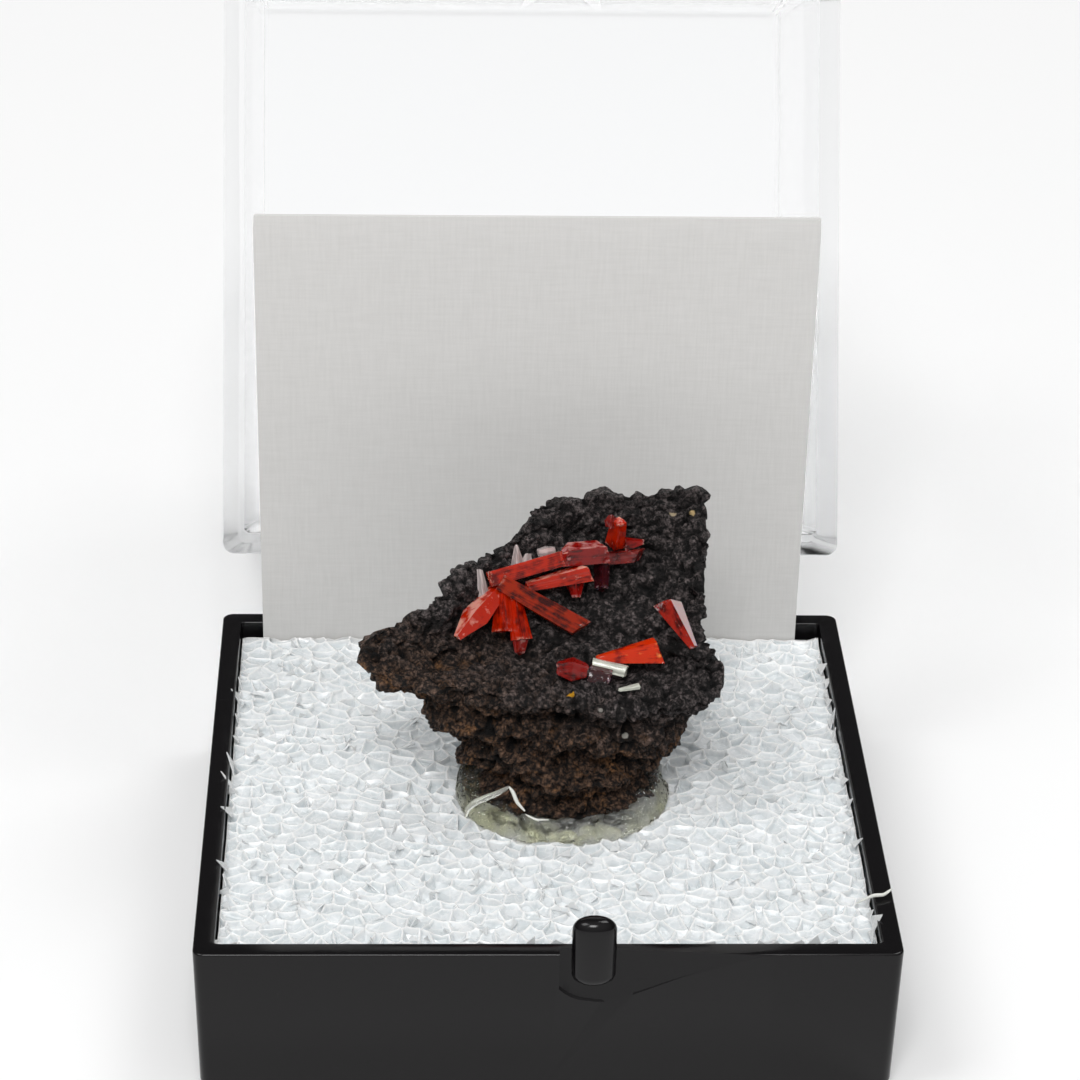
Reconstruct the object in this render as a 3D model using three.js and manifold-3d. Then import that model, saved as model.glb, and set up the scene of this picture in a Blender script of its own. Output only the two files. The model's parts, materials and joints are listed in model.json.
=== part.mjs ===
// Crocoite on its matrix, glued in a hinged 1 1/4 inch display box with a label card.
// Millimetres, +X right, +Y back, +Z up. The origin is the middle of the tray's underside.
import * as THREE from "three";
import { ConvexGeometry } from "three/addons/geometries/ConvexGeometry.js";
import { mergeVertices } from "three/addons/utils/BufferGeometryUtils.js";
import Module from "manifold-3d";

const wasm = await Module();
wasm.setup();

// ---- driving dimensions ---------------------------------------------------------------

const BOX = { half: 15.875, height: 7.5, wall: 0.95, floor: 1.2, draft: 0.026, corner: 0.5, edge: 0.1 };
const LID = { depth: 25.4, wall: 1.1, panel: 1.1, draft: 0.0087, gap: 0.15, bevel: 0.18, corner: 0.6 };
const HINGE = {
  y: BOX.half + 1.25,
  z: BOX.height + 1.45,
  stations: [-8.5, 8.5],
  earRadius: 1.15,
  earWidth: 1.2,
  earOffset: 1.8,
  holeRadius: 0.62,
  knuckleRadius: 1.05,
  knuckleWidth: 2.1,
  pinRadius: 0.52,
  pinLength: 4.9,
};
const POST = { x: 2.0, rx: 1.0, ry: 0.6, inset: 0.35, above: 1.7, below: 1.6 };
// the lower lip of the thumb recess: distance from the middle, and drop below the rim
const RECESS = { lip: [[0.45, 1.9], [1.2, 2.45], [2.3, 2.65], [4.1, 2.1], [9.8, 0]], depth: 0.55, slope: 0.4 };
const SLOT = { left: 0.75, right: 3.25, height: 1.95 };
const FOAM = { half: 14.82, back: 14.05, bottom: 1.25, top: 7.1, unevenness: 0.14 };
const CARD = { x: -0.07, y: 14.28, thick: 0.3, top: 30.4, topWidth: 27.76, bottomWidth: 27.29 };
const GLUE = { x: 1.06, y: -1.1, radius: 5.2, oval: 0.88, bottom: 6.6, top: 8.45, dip: 1.15 };
const RIPPLES = { count: 14, height: 0.09 };
const GAP = 0.05; // clearance between pieces that touch in the real specimen

// ---- helpers --------------------------------------------------------------------------

const clamp01 = (v) => Math.min(1, Math.max(0, v));
const smooth = (a, b, v) => {
  const t = clamp01((v - a) / (b - a));
  return t * t * (3 - 2 * t);
};
const mix = (a, b, t) => a + (b - a) * t;

/** A closed geometry from points and triangles. */
function geometryOf(points, triangles) {
  const geometry = new THREE.BufferGeometry();
  geometry.setAttribute("position", new THREE.Float32BufferAttribute(points.flat(), 3));
  geometry.setIndex(triangles.flat());
  return geometry;
}

/** Skins a stack of closed rings with equally many points, and closes both ends with a fan. */
function loft(rings, firstPole = middleOf(rings[0]), lastPole = middleOf(rings.at(-1))) {
  const n = rings[0].length;
  const points = [...rings.flat(), firstPole, lastPole];
  const triangles = [];
  for (let i = 0; i < n; i++) {
    const k = (i + 1) % n;
    for (let r = 0; r + 1 < rings.length; r++) {
      const [a, b] = [r * n + i, r * n + k];
      triangles.push([a, b, b + n], [a, b + n, a + n]);
    }
    const last = (rings.length - 1) * n;
    triangles.push([k, i, points.length - 2], [last + i, last + k, points.length - 1]);
  }
  return geometryOf(points, triangles);
}

function middleOf(ring) {
  return [0, 1, 2].map((c) => ring.reduce((sum, p) => sum + p[c], 0) / ring.length);
}

/** A level square ring with round corners, anticlockwise seen from above. */
function squareRing(half, corner, z, steps = 3) {
  const ring = [];
  for (let quarter = 0; quarter < 4; quarter++)
    for (let s = 0; s <= steps; s++) {
      const a = ((quarter + s / steps) * Math.PI) / 2;
      const [sx, sy] = [[1, 1], [-1, 1], [-1, -1], [1, -1]][quarter];
      ring.push([
        sx * (half - corner) + corner * Math.cos(a),
        sy * (half - corner) + corner * Math.sin(a),
        z,
      ]);
    }
  return ring;
}

/** The convex solid around a list of points. */
function hull(points) {
  return new ConvexGeometry(points.map((p) => new THREE.Vector3(...p)));
}

/** A convex outline in the YZ plane, swept from x0 to x1. */
function slab(outline, x0, x1) {
  return hull(outline.flatMap(([y, z]) => [[x0, y, z], [x1, y, z]]));
}

/** A circle's points in the YZ plane. */
function circle(y, z, radius, steps = 14) {
  return Array.from({ length: steps }, (_, i) => {
    const a = (2 * Math.PI * i) / steps;
    return [y + radius * Math.cos(a), z + radius * Math.sin(a)];
  });
}

function solid(geometry) {
  const bare = geometry.clone();
  for (const name of Object.keys(bare.attributes))
    if (name !== "position") bare.deleteAttribute(name);
  const merged = mergeVertices(bare, 1e-4);
  return new wasm.Manifold(
    new wasm.Mesh({
      numProp: 3,
      vertProperties: merged.attributes.position.array,
      triVerts: new Uint32Array(merged.index.array),
    }),
  );
}

function geometryFrom(manifold) {
  const mesh = manifold.getMesh();
  const geometry = new THREE.BufferGeometry();
  geometry.setAttribute("position", new THREE.BufferAttribute(mesh.vertProperties, 3));
  geometry.setIndex(new THREE.BufferAttribute(mesh.triVerts, 1));
  return geometry;
}

const joined = (geometries) => geometries.map(solid).reduce((all, next) => all.add(next));

// ---- noise: the same on every run ------------------------------------------------------

function hash(i, j, k, seed) {
  const n = Math.sin(i * 12.9898 + j * 78.233 + k * 37.719 + seed * 11.13) * 43758.5453;
  return n - Math.floor(n);
}

/** Smooth noise from -1 to 1 with a cell of one unit. */
function noise([x, y, z], seed) {
  const [i, j, k] = [x, y, z].map(Math.floor);
  const [u, v, w] = [x - i, y - j, z - k].map((t) => t * t * (3 - 2 * t));
  let sum = 0;
  for (const a of [0, 1])
    for (const b of [0, 1])
      for (const c of [0, 1])
        sum +=
          (a ? u : 1 - u) * (b ? v : 1 - v) * (c ? w : 1 - w) * hash(i + a, j + b, k + c, seed);
  return 2 * sum - 1;
}

/** Two octaves of noise with cells of the given size. */
function roughness(point, cell, seed) {
  const at = (scale) => point.map((c) => (c * scale) / cell);
  return noise(at(1), seed) + 0.5 * noise(at(2.03), seed + 1);
}

/** Round grape-like lumps, 0 in the creases and 1 on their tops. */
function lumps(point, cell, seed) {
  const q = point.map((c) => c / cell);
  const base = q.map(Math.floor);
  let nearest = 9;
  for (const a of [-1, 0, 1])
    for (const b of [-1, 0, 1])
      for (const c of [-1, 0, 1]) {
        const cellAt = [base[0] + a, base[1] + b, base[2] + c];
        const d = Math.hypot(...q.map((v, n) => v - cellAt[n] - hash(...cellAt, seed + 1 + n)));
        nearest = Math.min(nearest, d);
      }
  return Math.sqrt(clamp01(1 - (nearest / 0.75) ** 2));
}

// ---- tray ------------------------------------------------------------------------------

function tray() {
  const at = (z) => BOX.half - BOX.draft * (BOX.height - z);
  const { height: top, wall, floor, corner, edge } = BOX;
  const inner = corner / 2;
  const shell = loft([
    squareRing(at(0) - 0.5, corner, 0),
    squareRing(at(0) - 0.15, corner, 0.15),
    squareRing(at(0.5), corner, 0.5),
    squareRing(at(top - edge), corner, top - edge),
    squareRing(at(top) - edge, corner, top),
    squareRing(at(top) - wall + edge, inner, top),
    squareRing(at(top) - wall, inner, top - edge),
    squareRing(at(floor) - wall, inner, floor + edge),
    squareRing(at(floor) - wall - edge, inner, floor),
  ]);
  let made = solid(shell).subtract(solid(thumbRecess())).add(solid(post()));
  for (const x of HINGE.stations)
    for (const side of [-1, 1]) made = made.add(ear(x + side * HINGE.earOffset));
  return geometryFrom(made);
}

/** The shallow scoop in the front wall that a fingernail goes into. */
function thumbRecess() {
  const face = -BOX.half;
  const { lip, depth, slope } = RECESS;
  const [left, right] = [lip[0][0], lip.at(-1)[0]];
  const top = BOX.height + slope;
  return hull(
    lip.flatMap(([x, drop]) => {
      const back = face + (depth * (right - x)) / (right - left);
      const low = BOX.height - drop;
      return [[x, face - slope, low - slope], [x, face - slope, top], [x, back, low + slope], [x, back, top]];
    }),
  );
}

/** The oval post in the front rim that keys the lid. */
function post() {
  const ring = (z, scale) =>
    Array.from({ length: 20 }, (_, i) => {
      const a = (2 * Math.PI * i) / 20;
      return [
        POST.x + POST.rx * scale * Math.cos(a),
        -BOX.half + POST.inset + POST.ry * scale * Math.sin(a),
        z,
      ];
    });
  const [low, high] = [BOX.height - POST.below, BOX.height + POST.above];
  return loft([ring(low, 0.75), ring(low + 0.3, 1), ring(high - 0.15, 1), ring(high, 0.8)]);
}

/** One hinge ear: a bored eye and the web that carries it on the back wall. */
function ear(x) {
  const { y, z, earRadius, earWidth, holeRadius } = HINGE;
  const [x0, x1] = [x - earWidth / 2, x + earWidth / 2];
  const [back, top] = [BOX.half, BOX.height];
  const eye = slab([...circle(y, z, earRadius), [back + 0.15, top - 0.3], [back + 0.15, top - 2.6]], x0, x1);
  const web = [
    [back - 0.35, top - 0.3],
    [back - 0.35, top - 3.2],
    [back + 0.3, top - 2.7],
    [back + 0.3, top - 0.3],
  ];
  const bore = slab(circle(y, z, holeRadius), x0 - 1, x1 + 1);
  return joined([eye, slab(web, x0, x1)]).subtract(solid(bore));
}

// ---- lid -------------------------------------------------------------------------------

/** The lid as it sits when shut. */
function shutLid() {
  const rim = BOX.height + LID.gap;
  const top = rim + LID.depth;
  const ceiling = top - LID.panel;
  const at = (z) => BOX.half - LID.draft * (z - rim);
  const inner = (z) => at(z) - LID.wall;
  const shell = loft([
    squareRing(inner(ceiling) - 0.3, 0.3, ceiling),
    squareRing(inner(ceiling), 0.3, ceiling - 0.3),
    squareRing(inner(rim), 0.3, rim + 0.1),
    squareRing(inner(rim) + 0.1, 0.3, rim),
    squareRing(at(rim) - 0.1, LID.corner, rim),
    squareRing(at(rim), LID.corner, rim + 0.1),
    squareRing(at(top), LID.corner, top - 0.6),
    squareRing(at(top) - LID.bevel, LID.corner, top - LID.bevel),
    squareRing(at(top) - 0.6, LID.corner, top),
  ]);
  let made = solid(shell).subtract(solid(postSlot(rim)));
  for (const x of HINGE.stations) made = made.add(knuckle(x));
  return geometryFrom(made);
}

/** The notch in the lid's front wall that clears the tray's post. */
function postSlot(rim) {
  const [y0, y1] = [-BOX.half - 1, -BOX.half + LID.wall + 1];
  return hull(
    [y0, y1].flatMap((y) => [
      [SLOT.left, y, rim - 1],
      [SLOT.right, y, rim - 1],
      [SLOT.left, y, rim + SLOT.height - 0.3],
      [SLOT.right, y, rim + SLOT.height - 0.3],
      [SLOT.left + 0.3, y, rim + SLOT.height],
      [SLOT.right - 0.3, y, rim + SLOT.height],
    ]),
  );
}

/** One hinge knuckle with its web and the pin that turns in the two ears beside it. */
function knuckle(x) {
  const { y, z, knuckleRadius, knuckleWidth, pinRadius, pinLength } = HINGE;
  const [x0, x1] = [x - knuckleWidth / 2, x + knuckleWidth / 2];
  const web = [
    [BOX.half - 0.4, z - 1.0],
    [BOX.half - 0.4, z + 2.2],
    [BOX.half + 0.2, z + 1.9],
    [BOX.half + 0.2, z - 1.0],
  ];
  const eye = [...circle(y, z, knuckleRadius), [BOX.half + 0.1, z - 1.0], [BOX.half + 0.1, z + 1.9]];
  return joined([
    slab(web, x0, x1),
    slab(eye, x0, x1),
    slab(circle(y, z, pinRadius), x - pinLength / 2, x + pinLength / 2),
  ]);
}

/** How far the lid swings back before its top edge rests on the table. */
function openAngle() {
  const top = BOX.height + LID.gap + LID.depth;
  const edge = [BOX.half - LID.draft * LID.depth - LID.bevel - HINGE.y, top - LID.bevel - HINGE.z];
  const reach = Math.hypot(...edge);
  return Math.atan2(edge[1], edge[0]) + Math.asin(HINGE.z / reach);
}

// ---- foam, card and glue ----------------------------------------------------------------

const insideGlue = (x, y) => Math.hypot(x - GLUE.x, y - GLUE.y) < GLUE.radius + 0.8;

/** The foam pad: its top is gently uneven where its cells are cut open. */
function foamPad() {
  const cells = 20;
  const { half, back, bottom, top, unevenness } = FOAM;
  const points = [];
  for (let j = 0; j <= cells; j++)
    for (let i = 0; i <= cells; i++) {
      const [x, y] = [mix(-half, half, i / cells), mix(-half, back, j / cells)];
      const bump = insideGlue(x, y) ? 0 : unevenness * roughness([x, y, 0], 2.2, 21);
      points.push([x, y, top + bump]);
    }
  const triangles = [];
  const at = (i, j) => j * (cells + 1) + i;
  for (let j = 0; j < cells; j++)
    for (let i = 0; i < cells; i++) {
      const [a, b, c, d] = [at(i, j), at(i + 1, j), at(i + 1, j + 1), at(i, j + 1)];
      triangles.push([a, b, c], [a, c, d]);
    }
  const rim = [];
  for (let i = 0; i < cells; i++) rim.push(at(i, 0));
  for (let j = 0; j < cells; j++) rim.push(at(cells, j));
  for (let i = cells; i > 0; i--) rim.push(at(i, cells));
  for (let j = cells; j > 0; j--) rim.push(at(0, j));
  const first = points.length;
  const shrink = 1 - (BOX.draft * (top - bottom)) / half;
  for (const r of rim) points.push([points[r][0] * shrink, points[r][1] * shrink, bottom]);
  points.push([0, 0, bottom]);
  rim.forEach((r, n) => {
    const m = (n + 1) % rim.length;
    triangles.push([r, first + n, first + m], [r, first + m, rim[m]]);
    triangles.push([first + m, first + n, points.length - 1]);
  });
  const pocket = solid(glueForm(GAP));
  return geometryFrom(solid(geometryOf(points, triangles)).subtract(pocket));
}

function labelCard() {
  const { x, y, thick, top, topWidth, bottomWidth } = CARD;
  const corners = [
    [x - bottomWidth / 2, FOAM.bottom],
    [x + bottomWidth / 2, FOAM.bottom],
    [x + topWidth / 2, top],
    [x - topWidth / 2, top],
  ];
  return hull(corners.flatMap(([cx, cz]) => [[cx, y - thick / 2, cz], [cx, y + thick / 2, cz]]));
}

/** The puddle of glue, lower in front, before the rock's foot is cut out of it, grown by a clearance. */
function glueForm(grow = 0) {
  const steps = 42;
  const { x, y, radius, oval, bottom, top, dip } = GLUE;
  const ring = (scale, share, wave) =>
    Array.from({ length: steps }, (_, i) => {
      const a = (2 * Math.PI * i) / steps;
      const reach = radius * scale + grow + wave * RIPPLES.height * Math.cos(RIPPLES.count * a);
      const height = top - dip * Math.max(0, -Math.sin(a));
      return [x + reach * Math.cos(a), y + oval * reach * Math.sin(a), mix(bottom - grow, height, share)];
    });
  return loft([
    ring(0.9, 0, 0),
    ring(0.97, 0.17, 0.5),
    ring(1.0, 0.45, 1),
    ring(0.985, 0.65, 1),
    ring(0.93, 0.86, 0.7),
    ring(0.84, 1, 0.3),
  ]);
}

const gluePuddle = () => geometryFrom(solid(glueForm()).subtract(solid(rockForm(GAP))));

// ---- rock ------------------------------------------------------------------------------

const ROCK = { x: 1.0, y: -0.8, z: 7.2, footLeft: 4.5, footRight: 4.1, footY: 3.25 };
const FACE = { middle: [1.4, 2.3, 8.2], tilt: THREE.MathUtils.degToRad(30), hollow: 1.0 };
const FOOT_END = 0.1; // share of the skin that covers the foot's underside
const RIM_AT = 0.56; // share of the skin below the rim of the upper face

// The rim of the upper face, seen from the middle of the foot: azimuth in degrees, reach,
// height above the foot, and the bend of the side below it (1 is straight, 2 is undercut).
const RIM = [
  [-176, 10.3, 7.2, 2.0], [-171, 8.8, 6.8, 2.0], [-166, 6.9, 6.6, 1.9], [-158, 5.2, 6.5, 1.5],
  [-143, 3.9, 6.5, 1.0], [-115, 3.0, 6.3, 1.0], [-90, 2.9, 6.2, 1.0], [-67, 3.1, 6.2, 1.0],
  [-40, 4.6, 6.0, 1.4], [-25, 6.3, 6.2, 1.6], [-12, 7.9, 6.8, 1.6], [-5, 7.5, 7.2, 1.4],
  [2, 6.4, 7.9, 1.1], [17, 6.9, 9.0, 0.9], [30, 7.9, 10.1, 1.0], [40, 9.1, 11.2, 1.0],
  [47, 10.5, 12.1, 1.1], [52, 9.5, 12.1, 1.1], [58, 8.6, 11.9, 1.1], [66, 7.8, 11.8, 1.1],
  [76, 7.5, 12.0, 1.1], [86, 7.0, 11.6, 1.1], [96, 7.1, 11.7, 1.1], [103, 6.4, 11.4, 1.1],
  [115, 5.7, 10.7, 1.1], [130, 5.4, 10.1, 1.2], [146, 6.1, 9.7, 1.3], [158, 6.2, 9.0, 1.6],
  [168, 6.9, 8.6, 1.8], [175, 8.5, 8.0, 2.0], [179, 9.6, 7.7, 2.0],
];

/** Reach, height and bend of the rim at an azimuth, straight between the listed points. */
function rimAt(azimuth) {
  const a = ((((azimuth + 180) % 360) + 360) % 360) - 180;
  const after = RIM.findIndex(([listed]) => listed > a);
  const next = after < 0 ? [RIM[0][0] + 360, ...RIM[0].slice(1)] : RIM[after];
  const last = RIM.at(-1);
  const previous = after === 0 ? [last[0] - 360, ...last.slice(1)] : RIM.at(after < 0 ? -1 : after - 1);
  const t = (a - previous[0]) / (next[0] - previous[0]);
  return [1, 2, 3].map((c) => mix(previous[c], next[c], t));
}

function roundedRimAt(azimuth) {
  const [before, here, after] = [azimuth - 4, azimuth, azimuth + 4].map(rimAt);
  return here.map((v, c) => (before[c] + 2 * v + after[c]) / 4);
}

/** A point of the smooth skin: s runs from the foot's middle, over the rim, to the face's middle. */
function skinAt(azimuth, s) {
  const a = THREE.MathUtils.degToRad(azimuth);
  const [cos, sin] = [Math.cos(a), Math.sin(a)];
  const [reach, height, bend] = roundedRimAt(azimuth);
  const foot = 1 / Math.hypot(cos / (cos < 0 ? ROCK.footLeft : ROCK.footRight), sin / ROCK.footY);
  if (s > RIM_AT) {
    const q = (1 - s) / (1 - RIM_AT);
    const dip = FACE.hollow * (1 - smooth(0.35, 1, q));
    const [mx, my, mz] = FACE.middle;
    return [
      mix(mx, reach * cos, q),
      mix(my, reach * sin, q) + Math.sin(FACE.tilt) * dip,
      mix(mz, height, q) - Math.cos(FACE.tilt) * dip,
    ];
  }
  const t = clamp01((s - FOOT_END) / (RIM_AT - FOOT_END));
  const r = s < FOOT_END ? (foot * s) / FOOT_END : foot + (reach - foot) * t ** bend;
  return [r * cos, r * sin, height * t];
}

function skinNormal(azimuth, s) {
  const difference = (p, q) => new THREE.Vector3(...p).sub(new THREE.Vector3(...q));
  const around = difference(skinAt(azimuth + 2, s), skinAt(azimuth - 2, s));
  const upward = difference(skinAt(azimuth, Math.min(s + 0.004, 1)), skinAt(azimuth, s - 0.004));
  return around.cross(upward).normalize();
}

/** How far the rock stands out of its smooth skin: swells, ledges on the sides, and lumps. */
function reliefAt(point, steepness) {
  const ledge = Math.sin(2 * Math.PI * (point[2] / 1.9 + 0.35 * roughness(point, 2.5, 5)));
  const relief =
    0.42 * roughness(point, 3.1, 3) +
    0.26 * roughness(point, 1.1, 9) +
    0.3 * steepness * ledge +
    0.34 * (lumps(point, 1.0, 2) - 0.6);
  return relief * smooth(0, 0.6, point[2]);
}

function rockForm(grow = 0) {
  const [around, up] = [66, 31];
  const place = (p) => [p[0] + ROCK.x, p[1] + ROCK.y, p[2] + ROCK.z];
  const rings = Array.from({ length: up }, (_, j) => {
    const s = (j + 0.5) / up;
    return Array.from({ length: around }, (_, i) => {
      const azimuth = (360 * i) / around - 180;
      const p = skinAt(azimuth, s);
      const n = skinNormal(azimuth, s);
      const out = reliefAt(p, 1 - smooth(0, 0.6, n.z)) + grow;
      return place([p[0] + n.x * out, p[1] + n.y * out, p[2] + n.z * out]);
    });
  });
  return loft(rings);
}

// ---- crystals --------------------------------------------------------------------------

// Each crystal is a four-sided prism from one end to the other. width and thick are its
// section, ridge says where its upper edge lies across the width (-1 to 1), roll turns it
// about its length in degrees, ends give the section's share at each end, and slant how far
// each end face leans along the crystal. belly is a place along it and the share there, and
// tip is the length of a point at its first end.
const SPRAY = [
  {
    from: [-4.0, 0, 14.85], to: [-2.0, 2.1, 16.35],
    width: 1.45, thick: 1.2, ridge: 0.2, roll: -10, ends: [0.3, 0.65], belly: [0.42, 1],
  },
  { from: [-1.85, 1.75, 16.35], to: [-1.8, 0.75, 14.75], width: 1.15, thick: 1.0, ends: [0.55, 1] },
  {
    from: [-1.3, 1.75, 16.15], to: [-0.95, 0.55, 14.45],
    width: 1.05, thick: 0.95, ridge: 0.2, ends: [0.6, 1],
  },
  { from: [-1.0, 0.7, 14.6], to: [-1.05, 0, 14.0], width: 0.85, thick: 0.75, ends: [1, 0.55] },
  {
    from: [-1.95, 1.85, 16.8], to: [1.9, 1.2, 14.7],
    width: 1.0, thick: 0.85, ridge: -0.5, roll: -6, ends: [0.9, 1.1], slant: [0, -0.35],
  },
  { from: [-2.45, 2.0, 16.9], to: [1.0, 3.2, 17.4], width: 0.95, thick: 1.0, ridge: -0.1, roll: -8 },
  {
    from: [1.15, 3.4, 17.5], to: [3.0, 4.0, 17.35],
    width: 1.3, thick: 1.25, ridge: 0.15, roll: 5, slant: [-0.3, 0.2], tip: 0.45,
  },
  {
    from: [-0.7, 2.2, 16.4], to: [2.2, 3.0, 16.75],
    width: 1.1, thick: 0.95, ends: [0.55, 1], slant: [0, 0.2],
  },
  { from: [1.6, 2.8, 16.4], to: [1.7, 2.35, 15.75], width: 1.0, thick: 0.7, ends: [1, 0.4] },
  {
    from: [3.6, 4.8, 17.3], to: [3.75, 4.5, 18.75],
    width: 1.0, thick: 0.9, ridge: 0.2, ends: [1, 0.75],
  },
  {
    from: [3.35, 4.5, 18.4], to: [3.4, 4.7, 18.95],
    width: 0.6, thick: 0.55, ends: [0.8, 0.5], belly: [0.5, 1.1],
  },
  { from: [4.1, 4.7, 17.4], to: [4.95, 4.65, 17.55], width: 0.8, thick: 0.6, ends: [1, 0.35] },
  { from: [3.1, 4.15, 16.9], to: [4.75, 4.2, 17.05], width: 0.75, thick: 0.75, slant: [0, -0.3] },
  { from: [2.95, 4.0, 16.8], to: [2.9, 2.85, 15.95], width: 0.8, thick: 0.8, ends: [1, 0.8] },
];
const RIGHT = [
  {
    from: [5.95, 1.05, 16.1], to: [7.1, -1.1, 14.95],
    width: 1.25, thick: 0.9, ridge: -0.35, roll: 15, ends: [1, 0.3], slant: [-0.3, 0],
  },
];
const LOWER = [
  {
    from: [2.6, -0.5, 13.95], to: [5.5, -0.6, 14.5],
    width: 1.5, thick: 1.0, ridge: -0.2, ends: [0.3, 1], slant: [0, 0.2],
  },
];
const PALE = [
  { from: [2.35, -1.0, 14.0], to: [3.95, -1.4, 13.8], width: 0.65, thick: 0.6, ridge: -0.3 },
  { from: [2.2, -1.5, 13.8], to: [3.2, -1.75, 13.7], width: 1.3, thick: 0.7, ends: [0.8, 0.7] },
];
const CHUNK = [
  {
    from: [0.65, -1.75, 14.2], to: [2.1, -1.85, 14.1],
    width: 1.2, thick: 1.2, ends: [0.6, 0.6], belly: [0.5, 1.1],
  },
];
const SHARD_LEFT = [
  { from: [-1.1, 3.1, 16.95], to: [-1.2, 3.4, 18.0], width: 0.75, thick: 0.4, ends: [1, 0.2] },
  { from: [-0.75, 3.2, 16.95], to: [-0.6, 3.45, 17.5], width: 0.7, thick: 0.4, ends: [1, 0.4] },
];
const SHARD_RIGHT = [
  {
    from: [-0.15, 3.65, 17.45], to: [0.7, 3.85, 17.5],
    width: 0.6, thick: 0.6, ends: [0.7, 0.7], belly: [0.5, 1.1],
  },
];
const CLEAR_FLAKE = [
  { from: [-2.75, 1.85, 16.1], to: [-2.95, 2.1, 17.35], width: 0.55, thick: 0.18, ends: [1, 0.5] },
];
const PALE_FLAKE = [
  { from: [3.5, -3.15, 13.8], to: [4.5, -2.95, 13.9], width: 0.5, thick: 0.35, ends: [0.4, 0.7] },
];

/** The corners of one prism. */
function prismPoints(prism) {
  const { from, to, width, thick, ridge = 0, roll = 0, tip = 0 } = prism;
  const { ends = [1, 1], slant = [0, 0], belly = [0, ends[0]] } = prism;
  const start = new THREE.Vector3(...from);
  const axis = new THREE.Vector3(...to).sub(start);
  const length = axis.length();
  axis.normalize();
  const faceNormal = new THREE.Vector3(0, -Math.sin(FACE.tilt), Math.cos(FACE.tilt));
  const across = axis.clone().cross(faceNormal).normalize();
  across.applyAxisAngle(axis, THREE.MathUtils.degToRad(roll));
  const up = across.clone().cross(axis);
  const at = (along, a = 0, b = 0) =>
    start.clone().addScaledVector(axis, along).addScaledVector(across, a).addScaledVector(up, b).toArray();
  const section = [
    [-width / 2, 0],
    [(ridge * width) / 2, thick / 2],
    [width / 2, 0],
    [(-ridge * width) / 2, -thick / 2],
  ];
  const ring = (along, share, lean) =>
    section.map(([a, b]) => at(along + (lean * a * 2) / width, a * share, b * share));
  return [
    at(-tip),
    ...ring(0, ends[0], slant[0]),
    ...ring(length * belly[0], belly[1], belly[0] ? 0 : slant[0]),
    ...ring(length, ends[1], slant[1]),
  ];
}

const crystalSolid = (prisms) => joined(prisms.map((prism) => hull(prismPoints(prism))));

/** The room that a crystal takes out of the rock: each prism grown by the clearance. */
function crystalPocket(prisms) {
  const shifts = [[1, 0, 0], [-1, 0, 0], [0, 1, 0], [0, -1, 0], [0, 0, 1], [0, 0, -1]];
  const grown = ([x, y, z]) => shifts.map(([a, b, c]) => [x + a * GAP, y + b * GAP, z + c * GAP]);
  return joined(prisms.map((prism) => hull(prismPoints(prism).flatMap(grown))));
}

// ---- assembly --------------------------------------------------------------------------

const material = (color, roughness, extra = {}) =>
  new THREE.MeshStandardMaterial({ color, roughness, metalness: 0, ...extra });

const BLACK_STYRENE = material(0x0b0b0c, 0.15);
const CLEAR_STYRENE = material(0xe8eef0, 0.05, { transparent: true, opacity: 0.25 });
const WHITE_FOAM = material(0xdfe3ea, 0.7);
const LINEN_CARD = material(0xc9c9c6, 0.9);
const HOT_GLUE = material(0xd9d3a8, 0.2, { transparent: true, opacity: 0.7 });
const GOSSAN = material(0x1d1714, 0.85);
const CROCOITE = material(0xc8240c, 0.15);
const ORANGE_CROCOITE = material(0xe8480c, 0.15);
const PALE_CRYSTAL = material(0xd8dccb, 0.1);

const part = new THREE.Group();

function piece(name, geometry, look, parent = part) {
  const mesh = new THREE.Mesh(geometry, look);
  mesh.name = name;
  parent.add(mesh);
  return mesh;
}

// name: the prisms of one grown-together group of crystals, and their material
const CRYSTALS = {
  crocoite_spray: [SPRAY, CROCOITE],
  crocoite_right: [RIGHT, CROCOITE],
  crocoite_lower: [LOWER, ORANGE_CROCOITE],
  crocoite_chunk: [CHUNK, CROCOITE],
  pale_prism: [PALE, PALE_CRYSTAL],
  shard_left: [SHARD_LEFT, PALE_CRYSTAL],
  shard_right: [SHARD_RIGHT, PALE_CRYSTAL],
  clear_flake: [CLEAR_FLAKE, PALE_CRYSTAL],
  pale_flake: [PALE_FLAKE, PALE_CRYSTAL],
};

function addSpecimen() {
  let rock = solid(rockForm());
  for (const [name, [prisms, look]] of Object.entries(CRYSTALS)) {
    rock = rock.subtract(crystalPocket(prisms));
    piece(name, geometryFrom(crystalSolid(prisms)), look);
  }
  piece("matrix", geometryFrom(rock), GOSSAN);
}

function addLid() {
  const swing = new THREE.Group();
  swing.position.set(0, HINGE.y, HINGE.z);
  swing.rotation.x = -openAngle();
  const geometry = shutLid().translate(0, -HINGE.y, -HINGE.z);
  piece("lid", geometry, CLEAR_STYRENE, swing);
  part.add(swing);
}

piece("tray", tray(), BLACK_STYRENE);
addLid();
piece("foam_pad", foamPad(), WHITE_FOAM);
piece("label_card", labelCard(), LINEN_CARD);
piece("glue_puddle", gluePuddle(), HOT_GLUE);
addSpecimen();

export default part;
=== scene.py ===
"""Looks of the crocoite specimen in its hinged display box.

Shapes are worked out in millimetres, in the part's own frame, and mesh_object makes them metres.
"""

import json
import math
from typing import NamedTuple

import bpy
import numpy as np
from mathutils import Matrix, Vector
from mathutils.bvhtree import BVHTree


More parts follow.
